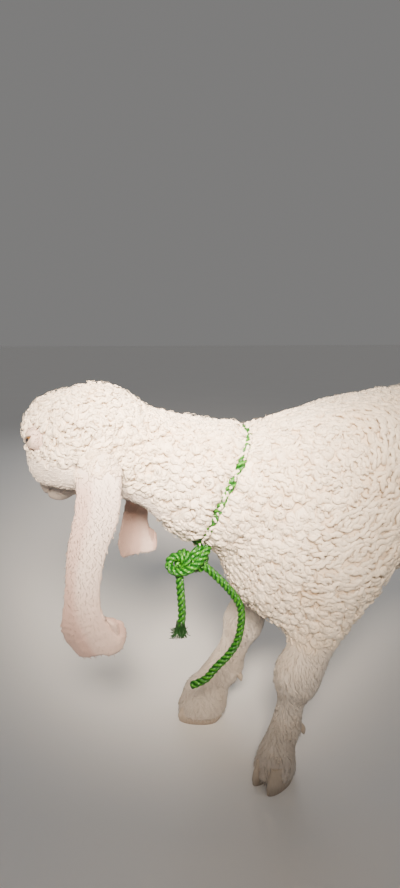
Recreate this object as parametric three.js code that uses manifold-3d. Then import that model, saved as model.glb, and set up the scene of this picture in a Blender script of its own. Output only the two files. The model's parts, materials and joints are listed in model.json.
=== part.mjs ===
// A life-size standing lamb of a long-eared, Roman-nosed woolly breed, head lowered and turned to its right,
// wearing a knotted rope collar. Units are millimetres: +X runs from head to tail, -Y is the animal's left, +Z is up.
//
// The flesh is one smooth distance field built from bones and muscles. It is polygonised region by region with
// marching cubes and parted with thin planar cuts, so that neighbouring solids continue each other's form.
// The outline is that of the coat's tips. Ears, hooves, eyes and ropes are lofted and fitted to the flesh.

import * as THREE from 'three';
import { edgeTable, triTable } from 'three/addons/objects/MarchingCubes.js';
import { mergeVertices } from 'three/addons/utils/BufferGeometryUtils.js';
import Module from 'manifold-3d';

const wasm = await Module();
wasm.setup();

const V = (x, y, z) => new THREE.Vector3(x, y, z);

// ---------------------------------------------------------------- driving dimensions

const GAP = 0.3; // clearance between neighbouring solids
const WITHERS = 526; // height of the highest point of the shoulders, coat included
const CHEST_HALF_WIDTH = 106;
const BARREL_HALF_WIDTH = 120;
const LEG_SPREAD_FORE = 72; // each fore foot's distance from the midplane
const LEG_SPREAD_HIND = 70;

const KNEE_RADIUS = 34;
const HOCK_RADIUS = 31;
const CANNON_RADIUS = 20.5;
const FETLOCK_RADIUS = 24;
const PASTERN_RADIUS = 26;

const HEAD_CENTRE = V(-181, 14, 458);
const HEAD_TURN = 54; // degrees, to the animal's right
const HEAD_DROP = 39; // degrees below the horizontal
const EYE_RADIUS = 13;
const EYE_BULGE = 2.5; // how far the eyeball stands out of the coat around it
const EYE_FORWARD = 18; // from the head's centre towards the muzzle
const EYE_UP = 24; // and towards the forehead

const EAR_THICKNESS = 5;

const CLAW_LENGTH = 58;
const CLAW_WIDTH = 23;
const CORONET_HEIGHT = 29; // where hair gives way to horn, above the floor
const DEWCLAW_RADIUS = 6;

const ROPE_RADIUS = 5.5;
const ROPE_SINK = 6; // how far the collar's centre lies under the tips of the wool
const GROOVE_RADIUS = 6.5; // of the channel that the collar presses into the wool

const TRUNK_CELL = 36; // marching-cubes cell sizes
const NECK_CELL = 33;
const HEAD_CELL = 15;
const LEG_CELL = 21;
const TAIL_CELL = 22;

// ---------------------------------------------------------------- distance fields

// Smooth union of two distances; k is the width of the fillet.
function fuse(a, b, k) {
  const h = Math.max(k - Math.abs(a - b), 0) / k;
  return Math.min(a, b) - h * h * k * 0.25;
}

// A tapered limb from a to b. widen stretches its section across the body.
function limb(a, b, startRadius, endRadius, widen = 1) {
  const axis = b.clone().sub(a);
  const lengthSq = axis.lengthSq();
  const offset = V();
  return (p) => {
    offset.copy(p).sub(a);
    const t = THREE.MathUtils.clamp(offset.dot(axis) / lengthSq, 0, 1);
    offset.addScaledVector(axis, -t);
    offset.y /= widen;
    return offset.length() - THREE.MathUtils.lerp(startRadius, endRadius, t);
  };
}

// An ellipsoid muscle. lean turns it about Y, in degrees, its top towards the tail.
function muscle(centre, radii, lean = 0) {
  const turn = new THREE.Quaternion().setFromAxisAngle(V(0, 1, 0), THREE.MathUtils.degToRad(-lean));
  const local = V();
  const scaled = V();
  return (p) => {
    local.copy(p).sub(centre).applyQuaternion(turn);
    const reach = scaled.copy(local).divide(radii).length();
    const slope = scaled.divide(radii).length();
    return slope > 1e-9 ? (reach * (reach - 1)) / slope : -Math.min(radii.x, radii.y, radii.z);
  };
}

// Smooth union of [distance, fillet] pairs.
function body(parts) {
  return (p) => parts.reduce((sum, [part, k]) => fuse(sum, part(p), k), Infinity);
}

const mirrorY = (v, side) => V(v.x, v.y * side, v.z);

// ---------------------------------------------------------------- skeleton

const LEFT = -1;
const RIGHT = 1;

// The four legs: joints from the top down, the turn of the foot about the vertical, in degrees, and the girth of
// cannon and foot as a share of the usual.
const legs = {
  foreleg_left: {
    side: LEFT,
    fore: true,
    top: V(128, -70, 292),
    joint: V(64, -70, 150),
    fetlock: V(53, 6 - LEG_SPREAD_FORE, 80),
    foot: V(42, 7 - LEG_SPREAD_FORE, 40),
    toeTurn: 30,
    girth: 0.92,
  },
  foreleg_right: {
    side: RIGHT,
    fore: true,
    top: V(102, 72, 292),
    joint: V(45, 77, 150),
    fetlock: V(19, LEG_SPREAD_FORE + 7, 80),
    foot: V(-16, LEG_SPREAD_FORE + 8, 42),
    toeTurn: -14,
    girth: 1.14,
  },
  hindleg_left: {
    side: LEFT,
    fore: false,
    top: V(436, -74, 300),
    joint: V(530, -70, 196),
    fetlock: V(513, -LEG_SPREAD_HIND, 82),
    foot: V(494, -LEG_SPREAD_HIND, 40),
    toeTurn: 8,
    girth: 1,
  },
  hindleg_right: {
    side: RIGHT,
    fore: false,
    top: V(450, 74, 300),
    joint: V(552, 70, 198),
    fetlock: V(545, LEG_SPREAD_HIND, 82),
    foot: V(528, LEG_SPREAD_HIND, 40),
    toeTurn: -8,
    girth: 1,
  },
};

// A lower leg: forearm or gaskin, knee or hock, cannon, fetlock and pastern, down to the coronet.
function lowerLeg({ fore, top, joint, fetlock, foot, girth }) {
  const kneeRadius = fore ? KNEE_RADIUS : HOCK_RADIUS;
  const cannon = CANNON_RADIUS * girth;
  const pastern = PASTERN_RADIUS * girth;
  const ankle = V(FETLOCK_RADIUS + 1, FETLOCK_RADIUS, FETLOCK_RADIUS).multiplyScalar(girth);
  const coronet = V(31, 27, 24).multiplyScalar(girth);
  const cannonTop = joint.clone().lerp(fetlock, 0.42);
  const cannonEnd = joint.clone().lerp(fetlock, 0.72);
  const upper = fore ? limb(top, joint, 43, 27) : limb(top, joint, 56, 25, 0.85);
  const parts = [
    [upper, 1],
    [muscle(joint, V(kneeRadius, kneeRadius * 0.92, kneeRadius)), 14],
    [limb(joint, cannonTop, kneeRadius * 0.8, cannon), 8],
    [limb(cannonTop, cannonEnd, cannon, cannon), 8],
    [muscle(fetlock, ankle), 10],
    [limb(fetlock, foot, pastern - 4, pastern, 0.95), 12],
    [muscle(foot.clone().add(V(-5, 0, -9)), coronet), 12],
  ];
  if (!fore) {
    parts.push([muscle(joint.clone().add(V(12, 0, 12)), V(20, 17, 24), -25), 12]); // point of the hock
  }
  return body(parts);
}

// Shoulder, upper arm and breast of one side.
function shoulder({ side, top }) {
  const blade = mirrorY(V(140, 58, 384), side);
  const point = mirrorY(V(70, 58, 312), side);
  const breast = mirrorY(V(66, 44, 262), side);
  return [
    [muscle(blade, V(76, 45, 112), 24), 36],
    [limb(point, top, 54, 50, 0.9), 36],
    [muscle(breast, V(50, 40, 54)), 36],
  ];
}

// Haunch and thigh of one side.
function haunch({ side, top }) {
  const thigh = mirrorY(V(470, 62, 372), side);
  return [
    [muscle(thigh, V(82, 54, 118), -8), 40],
    [muscle(top, V(58, 44, 62), 30), 40],
  ];
}

const legList = Object.values(legs);

const trunkField = [
  [muscle(V(170, 0, 381), V(148, CHEST_HALF_WIDTH, 116)), 1],
  [muscle(V(300, 0, 383), V(186, BARREL_HALF_WIDTH, 118)), 50],
  [limb(V(240, 0, WITHERS - 82), V(470, 0, 438), 62, 70, 1.15), 50],
  [muscle(V(465, 0, 414), V(106, 92, 92)), 50],
  [muscle(V(46, 0, 290), V(58, 58, 68), 20), 40],
  ...legList.filter((leg) => leg.fore).flatMap(shoulder),
  ...legList.filter((leg) => !leg.fore).flatMap(haunch),
];

const neckField = [
  [limb(V(64, 0, 378), V(-36, 1, 400), 102, 79, 0.88), 40],
  [limb(V(-36, 1, 400), V(-80, 3, 427), 78, 60, 0.92), 20],
  [limb(V(-80, 3, 427), V(-122, 5, 438), 60, 58, 0.95), 16],
];

const tailPath = [V(540, 0, 468), V(566, 0, 440), V(577, 0, 370), V(574, 0, 292), V(566, 0, 240)];
const TAIL_RADII = [34, 27, 24, 20, 14];
const tailField = tailPath.slice(1).map((end, i) => [
  limb(tailPath[i], end, TAIL_RADII[i], TAIL_RADII[i + 1]),
  16,
]);

// ---------------------------------------------------------------- head

// The head's own frame: +X towards the muzzle, +Y to the animal's left, +Z towards the forehead.
const headFrame = (() => {
  const turn = THREE.MathUtils.degToRad(HEAD_TURN);
  const drop = THREE.MathUtils.degToRad(HEAD_DROP);
  const nose = V(-Math.cos(turn) * Math.cos(drop), Math.sin(turn) * Math.cos(drop), -Math.sin(drop));
  const brow = V(-Math.cos(turn) * Math.sin(drop), Math.sin(turn) * Math.sin(drop), Math.cos(drop));
  const left = brow.clone().cross(nose);
  return new THREE.Matrix4().makeBasis(nose, left, brow).setPosition(HEAD_CENTRE);
})();
const intoHead = headFrame.clone().invert();

const BOTH = [1, -1];

const skull = body([
  [muscle(V(-8, 0, 3), V(64, 57, 55)), 1],
  [muscle(V(-33, 0, 6), V(37, 50, 43)), 22], // poll
  [muscle(V(24, 0, 35), V(46, 58, 47)), 18], // forehead and topknot
  [limb(V(14, 0, 20), V(80, 0, 4), 42, 22), 26], // Roman nose
  [muscle(V(92, 0, -4), V(22, 22, 19)), 14], // muzzle
  [limb(V(-4, 0, -32), V(86, 0, -18), 29, 15, 1.1), 20], // lower jaw
  [muscle(V(100, 0, -18), V(9, 13, 7)), 6], // chin
  ...BOTH.map((s) => [muscle(V(8, 36 * s, -20), V(38, 22, 30)), 16]), // cheeks
  ...BOTH.map((s) => [muscle(V(42, 37 * s, 3), V(34, 20, 29)), 16]), // wool under the eyes
  ...BOTH.map((s) => [muscle(V(16, 46 * s, 28), V(22, 16, 18)), 14]), // brows
]);

const headField = (() => {
  const local = V();
  return (p) => skull(local.copy(p).applyMatrix4(intoHead));
})();

// ---------------------------------------------------------------- the whole fleece

const wholeField = body([
  ...trunkField,
  ...neckField,
  [headField, 26],
  ...tailField,
  ...legList.map((leg) => [lowerLeg(leg), 26]),
]);

// ---------------------------------------------------------------- meshes and solids

const CORNERS = [
  [0, 0, 0], [1, 0, 0], [1, 1, 0], [0, 1, 0],
  [0, 0, 1], [1, 0, 1], [1, 1, 1], [0, 1, 1],
];
const EDGES = [
  [0, 1], [1, 2], [2, 3], [3, 0], [4, 5], [5, 6], [6, 7], [7, 4], [0, 4], [1, 5], [2, 6], [3, 7],
];

// Moves a point along the field's slope until it lies on the surface.
function settle(field, p, steps = 3) {
  const h = 0.5;
  const slope = V();
  const probe = (dx, dy, dz) => field(V(p.x + dx, p.y + dy, p.z + dz));
  for (let i = 0; i < steps; i++) {
    slope.set(
      probe(h, 0, 0) - probe(-h, 0, 0),
      probe(0, h, 0) - probe(0, -h, 0),
      probe(0, 0, h) - probe(0, 0, -h),
    ).divideScalar(2 * h);
    p.addScaledVector(slope, -field(p) / Math.max(slope.lengthSq(), 0.2));
  }
}

// Closed mesh of the field's zero surface inside a box, by marching cubes. The vertices are then evened out.
function polygonise(field, box, cell) {
  const counts = box.getSize(V()).divideScalar(cell).toArray().map((n) => Math.ceil(n) + 1);
  const [nx, ny, nz] = counts;
  const at = (i, j, k) => (k * ny + j) * nx + i;
  const place = (i, j, k) => V(i, j, k).multiplyScalar(cell).add(box.min);
  const values = new Float32Array(nx * ny * nz);
  for (let k = 0; k < nz; k++) {
    for (let j = 0; j < ny; j++) {
      for (let i = 0; i < nx; i++) {
        const rim = [i, j, k].some((n, a) => n === 0 || n === counts[a] - 1);
        const value = rim ? cell : field(place(i, j, k));
        const least = 0.06 * cell; // keeps vertices off the grid's corners
        values[at(i, j, k)] = Math.abs(value) < least ? Math.sign(value || 1) * least : value;
      }
    }
  }
  const vertices = [];
  const known = new Map();
  const vertexOn = (a, b) => {
    const [ia, ib] = [at(...a), at(...b)];
    const key = Math.min(ia, ib) * nx * ny * nz + Math.max(ia, ib);
    if (!known.has(key)) {
      known.set(key, vertices.length);
      const t = values[ia] / (values[ia] - values[ib]);
      vertices.push(place(...a).lerp(place(...b), t));
    }
    return known.get(key);
  };
  const triangles = [];
  for (let k = 0; k < nz - 1; k++) {
    for (let j = 0; j < ny - 1; j++) {
      for (let i = 0; i < nx - 1; i++) {
        const corners = CORNERS.map(([x, y, z]) => [i + x, j + y, k + z]);
        const code = corners.reduce((bits, c, n) => bits | (values[at(...c)] < 0 ? 1 << n : 0), 0);
        if (!edgeTable[code]) continue;
        for (let n = code * 16; triTable[n] >= 0; n++) {
          const [from, to] = EDGES[triTable[n]];
          triangles.push(vertexOn(corners[from], corners[to]));
        }
      }
    }
  }
  relax(field, vertices, triangles, box);
  return { vertices, triangles };
}

// Draws each vertex towards its neighbours' middle and back onto the surface, away from the box's rim.
function relax(field, vertices, triangles, box) {
  const neighbours = vertices.map(() => new Set());
  for (let t = 0; t < triangles.length; t += 3) {
    for (let e = 0; e < 3; e++) {
      neighbours[triangles[t + e]].add(triangles[t + ((e + 1) % 3)]);
    }
  }
  const inner = box.clone().expandByScalar(-TRUNK_CELL * 0.5);
  const loose = vertices.map((v) => inner.containsPoint(v) || Math.abs(field(v)) < 3);
  for (let round = 0; round < 3; round++) {
    const before = vertices.map((v) => v.clone());
    vertices.forEach((v, i) => {
      if (!loose[i]) return;
      const middle = V(0, 0, 0);
      neighbours[i].forEach((n) => middle.add(before[n]));
      v.lerp(middle.divideScalar(neighbours[i].size), 0.45);
      settle(field, v, 2);
    });
  }
}

// A manifold-3d solid from a list of points and a list of triangle corners.
function solidFrom(vertices, triangles) {
  const points = new Float32Array(vertices.flatMap((v) => [v.x, v.y, v.z]));
  const build = (corners) =>
    new wasm.Manifold(
      new wasm.Mesh({ numProp: 3, vertProperties: points, triVerts: new Uint32Array(corners) }),
    );
  const solid = build(triangles);
  if (solid.volume() > 0) return solid;
  const turned = [];
  for (let t = 0; t < triangles.length; t += 3) {
    turned.push(triangles[t], triangles[t + 2], triangles[t + 1]);
  }
  return build(turned);
}

// A manifold-3d solid from a closed three.js geometry.
function solidOf(geometry) {
  const bare = geometry.index ? geometry.clone() : geometry;
  bare.deleteAttribute('normal');
  bare.deleteAttribute('uv');
  const merged = mergeVertices(bare, 1e-3);
  const position = merged.getAttribute('position');
  const vertices = Array.from({ length: position.count }, (_, i) => V().fromBufferAttribute(position, i));
  return solidFrom(vertices, Array.from(merged.index.array));
}

function fleshIn(box, cell) {
  const { vertices, triangles } = polygonise(wholeField, box, cell);
  return solidFrom(vertices, triangles);
}

// A box-shaped cutter: everything within `reach` of the plane through `point`, on the side its normal points to.
function beyond(point, normal, reach, back = 0) {
  const box = new THREE.BoxGeometry(reach.across, reach.across, reach.along);
  box.translate(0, 0, reach.along / 2 - back);
  box.applyQuaternion(new THREE.Quaternion().setFromUnitVectors(V(0, 0, 1), normal.clone().normalize()));
  box.translate(point.x, point.y, point.z);
  return solidOf(box);
}

// Closed skin over rings of equal, even point counts. Strips shut the ends, unless the loft is a loop.
function loft(rings, isLoop = false) {
  const size = rings[0].length;
  const vertices = rings.flat();
  const triangles = [];
  const last = isLoop ? rings.length : rings.length - 1;
  for (let r = 0; r < last; r++) {
    const next = (r + 1) % rings.length;
    for (let i = 0; i < size; i++) {
      const j = (i + 1) % size;
      const [a, b, c, d] = [r * size + i, r * size + j, next * size + j, next * size + i];
      triangles.push(a, b, c, a, c, d);
    }
  }
  if (!isLoop) {
    const cap = (start, flip) => {
      for (let i = 0; i < size / 2 - 1; i++) {
        const [a, b, c, d] = [i, i + 1, size - 2 - i, size - 1 - i].map((n) => start + n);
        triangles.push(...(flip ? [a, c, b, a, d, c] : [a, b, c, a, c, d]));
      }
    };
    cap(0, true);
    cap((rings.length - 1) * size, false);
  }
  return solidFrom(vertices, triangles);
}

// Round tube along a list of points, with the radius at each.
function tube(path, radiusAt, sides, isLoop = false) {
  const count = path.length;
  let across = null;
  const rings = path.map((point, i) => {
    const before = path[isLoop ? (i + count - 1) % count : Math.max(i - 1, 0)];
    const after = path[isLoop ? (i + 1) % count : Math.min(i + 1, count - 1)];
    const along = after.clone().sub(before).normalize();
    across ??= Math.abs(along.z) < 0.9 ? V(0, 0, 1) : V(1, 0, 0);
    across = across.clone().addScaledVector(along, -across.dot(along)).normalize();
    const other = along.clone().cross(across);
    const radius = radiusAt(i / (count - 1));
    return Array.from({ length: sides }, (_, n) => {
      const angle = (2 * Math.PI * n) / sides;
      return point.clone()
        .addScaledVector(across, radius * Math.cos(angle))
        .addScaledVector(other, radius * Math.sin(angle));
    });
  });
  return loft(rings, isLoop);
}

// ---------------------------------------------------------------- ears

// An ear hangs along a curve. Its blade narrows under the root, widens to a spoon and curls forward at the rear edge.
const EAR_STATIONS = [
  // share of length, width, curl of the section in degrees
  { at: 0, width: 38, curl: 120 },
  { at: 0.14, width: 50, curl: 90 },
  { at: 0.38, width: 45, curl: 80 },
  { at: 0.6, width: 42, curl: 70 },
  { at: 0.76, width: 44, curl: 60 },
  { at: 0.86, width: 62, curl: 60 },
  { at: 0.94, width: 76, curl: 75 },
  { at: 1, width: 56, curl: 60 },
];
const EAR_RINGS = 14;
const EAR_SIDES = 6; // points across one face of the blade

function earStation(t) {
  const next = Math.max(1, EAR_STATIONS.findIndex((s) => s.at >= t));
  const [a, b] = [EAR_STATIONS[next - 1], EAR_STATIONS[next]];
  const u = THREE.MathUtils.smoothstep(t, a.at, b.at);
  return { width: THREE.MathUtils.lerp(a.width, b.width, u), curl: THREE.MathUtils.lerp(a.curl, b.curl, u) };
}

// `rearward` and `outward` orient the blade: its width runs along rearward, its back faces outward.
function ear({ path, rearward, outward }, grow = 0) {
  const curve = new THREE.CatmullRomCurve3(path);
  const thickness = EAR_THICKNESS + 2 * grow;
  const rings = Array.from({ length: EAR_RINGS }, (_, r) => {
    const t = r / (EAR_RINGS - 1);
    const station = earStation(t);
    const curl = station.curl;
    const width = station.width + 2 * grow;
    const along = curve.getTangentAt(t);
    const push = r === 0 ? -grow : r === EAR_RINGS - 1 ? grow : 0; // the grown ear is longer at both ends
    const side = rearward.clone().addScaledVector(along, -rearward.dot(along)).normalize();
    const out = side.clone().cross(along).normalize();
    if (out.dot(outward) < 0) out.negate();
    const bend = THREE.MathUtils.degToRad(curl);
    const radius = width / bend;
    const face = (offset) =>
      Array.from({ length: EAR_SIDES }, (_, i) => {
        const angle = (i / (EAR_SIDES - 1) - 0.5) * bend;
        const reach = radius + offset;
        return curve.getPointAt(t)
          .addScaledVector(along, push)
          .addScaledVector(side, reach * Math.sin(angle))
          .addScaledVector(out, reach * Math.cos(angle) - radius);
      });
    return [...face(thickness / 2), ...face(-thickness / 2).reverse()];
  });
  return loft(rings);
}

const ears = {
  ear_left: {
    path: [
      V(-190, -36, 468), V(-183, -58, 458), V(-179, -72, 432), V(-183, -77, 392),
      V(-196, -77, 343), V(-203, -76, 300), V(-199, -73, 262), V(-183, -68, 220),
    ],
    rearward: V(0.98, -0.2, 0),
    outward: V(0, -1, 1),
  },
  ear_right: {
    path: [
      V(-132, 30, 470), V(-112, 62, 466), V(-101, 84, 440), V(-108, 90, 386), V(-119, 87, 330), V(-117, 80, 276),
    ],
    rearward: V(0.9, 0.3, 0),
    outward: V(0.2, 1, 1),
  },
};

// ---------------------------------------------------------------- hooves

// One claw: a flat sole, an upright inner wall, a sloping front and a low heel.
function claw({ foot, toeTurn, girth }, inner) {
  const RING_POINTS = 12;
  const levels = [
    { z: 0, scale: 0.88, shift: 0 },
    { z: CORONET_HEIGHT * 0.35, scale: 1, shift: 1 },
    { z: CORONET_HEIGHT - GAP, scale: 0.9, shift: 7 },
  ];
  const rings = levels.map(({ z, scale, shift }) =>
    Array.from({ length: RING_POINTS }, (_, i) => {
      const angle = (2 * Math.PI * i) / RING_POINTS;
      const length = (CLAW_LENGTH / 2) * girth * scale;
      const taper = 1 + 0.16 * Math.cos(angle); // the toe, towards -X, is narrower than the heel
      const x = length * Math.cos(angle) + shift;
      const side = Math.sin(angle);
      const y = (CLAW_WIDTH / 2) * girth * scale * taper * Math.sign(side) * Math.abs(side) ** 0.75;
      return V(x, y + inner * ((CLAW_WIDTH / 2) * girth + 2), z);
    }),
  );
  const turn = THREE.MathUtils.degToRad(toeTurn);
  rings.flat().forEach((p) => {
    p.x -= 10;
    p.applyAxisAngle(V(0, 0, 1), turn);
    p.add(V(foot.x, foot.y, 0));
  });
  return loft(rings);
}

// A dewclaw: a blunt peg behind the fetlock, pointing down and back.
function dewclaw({ fetlock, toeTurn }, inner, grow = 0) {
  const turn = THREE.MathUtils.degToRad(toeTurn);
  const root = V(FETLOCK_RADIUS - 8, inner * 12, -8).applyAxisAngle(V(0, 0, 1), turn).add(fetlock);
  const tip = V(FETLOCK_RADIUS + 3, inner * 13, -20).applyAxisAngle(V(0, 0, 1), turn).add(fetlock);
  const start = grow > 0 ? -0.1 : 0; // the room cut for it reaches a little deeper
  const path = [start, 0.65, 1].map((t) => root.clone().lerp(tip, t));
  const profile = (t) => (DEWCLAW_RADIUS + grow) * Math.sqrt(Math.max(1 - t * t * 0.8, 0));
  return tube(path, profile, 6);
}

// ---------------------------------------------------------------- rope collar

// The collar circles the neck in a leaning plane and bows forward over the shoulders.
const collarTop = V(14, 0, 467);
const collarBottom = V(-56, 0, 318);
const COLLAR_BOW = 15;
const COLLAR_POINTS = 24;

const collarCentre = collarTop.clone().lerp(collarBottom, 0.5);
const collarUp = collarTop.clone().sub(collarBottom).normalize();
const collarForward = V(-collarUp.z, 0, collarUp.x);

// Distance from `from` along `direction` to a field's surface.
function reachOut(field, from, direction) {
  let [near, far] = [0, 260];
  for (let i = 0; i < 30; i++) {
    const middle = (near + far) / 2;
    if (field(from.clone().addScaledVector(direction, middle)) < 0) near = middle;
    else far = middle;
  }
  return near;
}

// Points round the neck, `sink` under the tips of the wool.
const collarPath = (sink) =>
  Array.from({ length: COLLAR_POINTS }, (_, i) => {
    const angle = (2 * Math.PI * i) / COLLAR_POINTS;
    const direction = collarUp.clone().multiplyScalar(Math.cos(angle)).add(V(0, -Math.sin(angle), 0));
    const from = collarCentre.clone().addScaledVector(collarForward, COLLAR_BOW * Math.sin(angle) ** 2);
    return from.clone().addScaledVector(direction, reachOut(wholeField, from, direction) - sink);
  });

const collar = (grow = 0) => tube(collarPath(ROPE_SINK), () => ROPE_RADIUS + grow, 6, true);

// The channel in the wool that the collar lies in, open to the outside.
const groove = () => collar(GAP).add(tube(collarPath(0), () => GROOVE_RADIUS, 6, true));

// The knot: two fat wraps side by side under the throat.
const knotLeft = V(-79, -25, 304);
const knotRight = V(-58, -23, 305);

function knot(grow = 0) {
  const wrap = (centre, tilt) => {
    const ring = new THREE.TorusGeometry(11, ROPE_RADIUS * 1.15 + grow, 6, 9);
    ring.rotateX(tilt);
    ring.translate(centre.x, centre.y, centre.z);
    return solidOf(ring);
  };
  const core = (centre) => {
    const ball = new THREE.IcosahedronGeometry(11 + grow, 1);
    ball.translate(centre.x, centre.y, centre.z);
    return solidOf(ball);
  };
  return wrap(knotLeft, 0.2)
    .add(core(knotLeft))
    .add(wrap(knotRight, 0.6))
    .add(core(knotRight));
}

// The rope's two loose ends, hanging from the knot.
const shortEndPath = [V(-81, -26, 300), V(-80, -27, 276), V(-78, -28, 240), V(-80, -28, 219)];
const longEndPath = [
  V(-56, -23, 305), V(-34, -26, 283), V(-14, -27, 260), V(0, -27, 237), V(3, -26, 214),
  V(-1, -24, 185), V(-13, -22, 164), V(-31, -20, 146), V(-44, -18, 131), V(-63, -15, 123),
];
const SHORT_END_STEPS = 3;
const LONG_END_STEPS = 10;

function looseEnd(path, steps) {
  const section = new THREE.Shape(new THREE.Path().absarc(0, 0, ROPE_RADIUS, 0, 2 * Math.PI).getPoints(4));
  const extrudePath = new THREE.CatmullRomCurve3(path);
  const tail = new THREE.ExtrudeGeometry(section, { steps, extrudePath, bevelEnabled: false });
  return solidOf(tail).subtract(knot(GAP));
}

// ---------------------------------------------------------------- parting the fleece

const HEAD_CUT = { point: V(-130, 5, 446), normal: V(-0.93, 0.2, 0.12) };
const NECK_CUT = { point: collarCentre, normal: collarForward };
const LEG_CUT_HEIGHT = 236;
const TAIL_CUT = 556; // the tail's root, measured along the body

const boxAround = (low, high) => new THREE.Box3(low, high);
const legBox = ({ top, joint, foot }) => {
  const xs = [top.x, joint.x, foot.x];
  return boxAround(
    V(Math.min(...xs) - 80, top.y - 75, -30),
    V(Math.max(...xs) + 80, top.y + 75, LEG_CUT_HEIGHT + 45),
  );
};
const legCutter = (leg, grow = 0) => {
  const box = legBox(leg);
  const size = box.getSize(V());
  const bottom = box.min.z;
  const top = LEG_CUT_HEIGHT + grow;
  const inner = leg.side * 1.5; // stays on its own side of the midplane
  const yNear = leg.side > 0 ? inner - grow : box.min.y;
  const yFar = leg.side > 0 ? box.max.y : inner + grow;
  const block = new THREE.BoxGeometry(size.x, yFar - yNear, top - bottom);
  block.translate(box.min.x + size.x / 2, (yNear + yFar) / 2, (bottom + top) / 2);
  return solidOf(block);
};

const far = { across: 700, along: 500 };
const headCutter = (grow) => beyond(HEAD_CUT.point, HEAD_CUT.normal, far, grow);
const neckCutter = (grow) => beyond(NECK_CUT.point, NECK_CUT.normal, far, grow);
const tailCutter = (grow) => {
  const block = new THREE.BoxGeometry(120 + grow, 110 + 2 * grow, 400);
  block.translate(TAIL_CUT + 60 - grow / 2, 0, 400);
  return solidOf(block);
};

const earSolids = Object.fromEntries(Object.entries(ears).map(([name, spec]) => [name, ear(spec)]));
const earRoom = Object.values(ears).map((spec) => ear(spec, 2 * GAP));

// The eyeball's centre: out from the skull's axis to the coat's surface, then back in.
function eyeAt(side) {
  const start = V(EYE_FORWARD, 0, EYE_UP).applyMatrix4(headFrame);
  const outward = V(0, side, 0).transformDirection(headFrame);
  return start.addScaledVector(outward, reachOut(headField, start, outward) + EYE_BULGE - EYE_RADIUS);
}
const eyeball = (side, grow = 0) => {
  const ball = new THREE.IcosahedronGeometry(EYE_RADIUS + grow, 2);
  const centre = eyeAt(side);
  ball.translate(centre.x, centre.y, centre.z);
  return solidOf(ball);
};

const cutAll = (solid, cutters) => cutters.reduce((left, cutter) => left.subtract(cutter), solid);

// The largest piece of a solid, without any crumbs that a cut has left.
const mainPiece = (solid) => solid.decompose().sort((a, b) => b.volume() - a.volume())[0];

const pieces = {};

const headSolid = fleshIn(boxAround(V(-290, -110, 330), V(-60, 140, 570)), HEAD_CELL).intersect(headCutter(0));
pieces.head = cutAll(headSolid, [...earRoom, eyeball(1, GAP), eyeball(-1, GAP)]);

const neckSolid = fleshIn(boxAround(V(-190, -130, 260), V(80, 130, 560)), NECK_CELL)
  .intersect(neckCutter(0))
  .subtract(headCutter(GAP));
pieces.neck = cutAll(neckSolid, [...earRoom, groove(), knot(GAP)]);

const trunkSolid = fleshIn(boxAround(V(-140, -200, 120), V(660, 200, 600)), TRUNK_CELL);
pieces.trunk = cutAll(trunkSolid, [
  neckCutter(GAP),
  tailCutter(GAP),
  ...legList.map((leg) => legCutter(leg, GAP)),
  groove(),
  knot(GAP),
]);

pieces.tail = fleshIn(boxAround(V(500, -60, 200), V(640, 60, 520)), TAIL_CELL).intersect(tailCutter(0));

for (const [name, leg] of Object.entries(legs)) {
  const flesh = fleshIn(legBox(leg), LEG_CELL).intersect(legCutter(leg));
  const floorward = beyond(V(leg.foot.x, leg.foot.y, CORONET_HEIGHT), V(0, 0, -1), { across: 200, along: 80 });
  const pegs = [-1, 1].map((inner) => dewclaw(leg, inner, GAP));
  pieces[name] = cutAll(flesh, [floorward, ...pegs]);
}

for (const [name, solid] of Object.entries(earSolids)) {
  pieces[name] = solid;
}
pieces.eye_left = eyeball(1);
pieces.eye_right = eyeball(-1);

for (const [name, leg] of Object.entries(legs)) {
  const foot = name.replace('leg', 'foot');
  for (const inner of [-1, 1]) {
    const place = inner * leg.side > 0 ? 'outer' : 'inner';
    pieces[`hoof_${foot}_${place}`] = claw(leg, inner);
    pieces[`dewclaw_${foot}_${place}`] = dewclaw(leg, inner);
  }
}

pieces.collar_rope = collar().subtract(knot(GAP));
pieces.collar_knot = knot();
pieces.rope_end_short = looseEnd(shortEndPath, SHORT_END_STEPS);
pieces.rope_end_long = looseEnd(longEndPath, LONG_END_STEPS);

// ---------------------------------------------------------------- materials and meshes

const finish = (color, roughness) => new THREE.MeshStandardMaterial({ color, roughness, metalness: 0 });
const MATERIALS = {
  wool: finish('#e6ddcf', 0.95),
  hair: finish('#ded2c6', 0.85),
  ear: finish('#dcc8be', 0.8),
  horn: finish('#b8a27c', 0.55),
  eye: finish('#4a3420', 0.15),
  rope: finish('#1f8a1c', 0.5),
};

function materialFor(name) {
  if (name.startsWith('ear')) return MATERIALS.ear;
  if (name.startsWith('eye')) return MATERIALS.eye;
  if (name.startsWith('hoof') || name.startsWith('dewclaw')) return MATERIALS.horn;
  if (name.includes('rope') || name.includes('knot')) return MATERIALS.rope;
  return name.includes('leg') ? MATERIALS.hair : MATERIALS.wool;
}

function meshOf(name, solid) {
  const { numProp, vertProperties, triVerts } = mainPiece(solid).getMesh();
  const points = new Float32Array((vertProperties.length / numProp) * 3);
  for (let i = 0; i < points.length / 3; i++) {
    points.set(vertProperties.subarray(i * numProp, i * numProp + 3), i * 3);
  }
  const geometry = new THREE.BufferGeometry();
  geometry.setAttribute('position', new THREE.BufferAttribute(points, 3));
  geometry.setIndex(new THREE.BufferAttribute(triVerts, 1));
  geometry.computeVertexNormals();
  const mesh = new THREE.Mesh(geometry, materialFor(name));
  mesh.name = name;
  return mesh;
}

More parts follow.
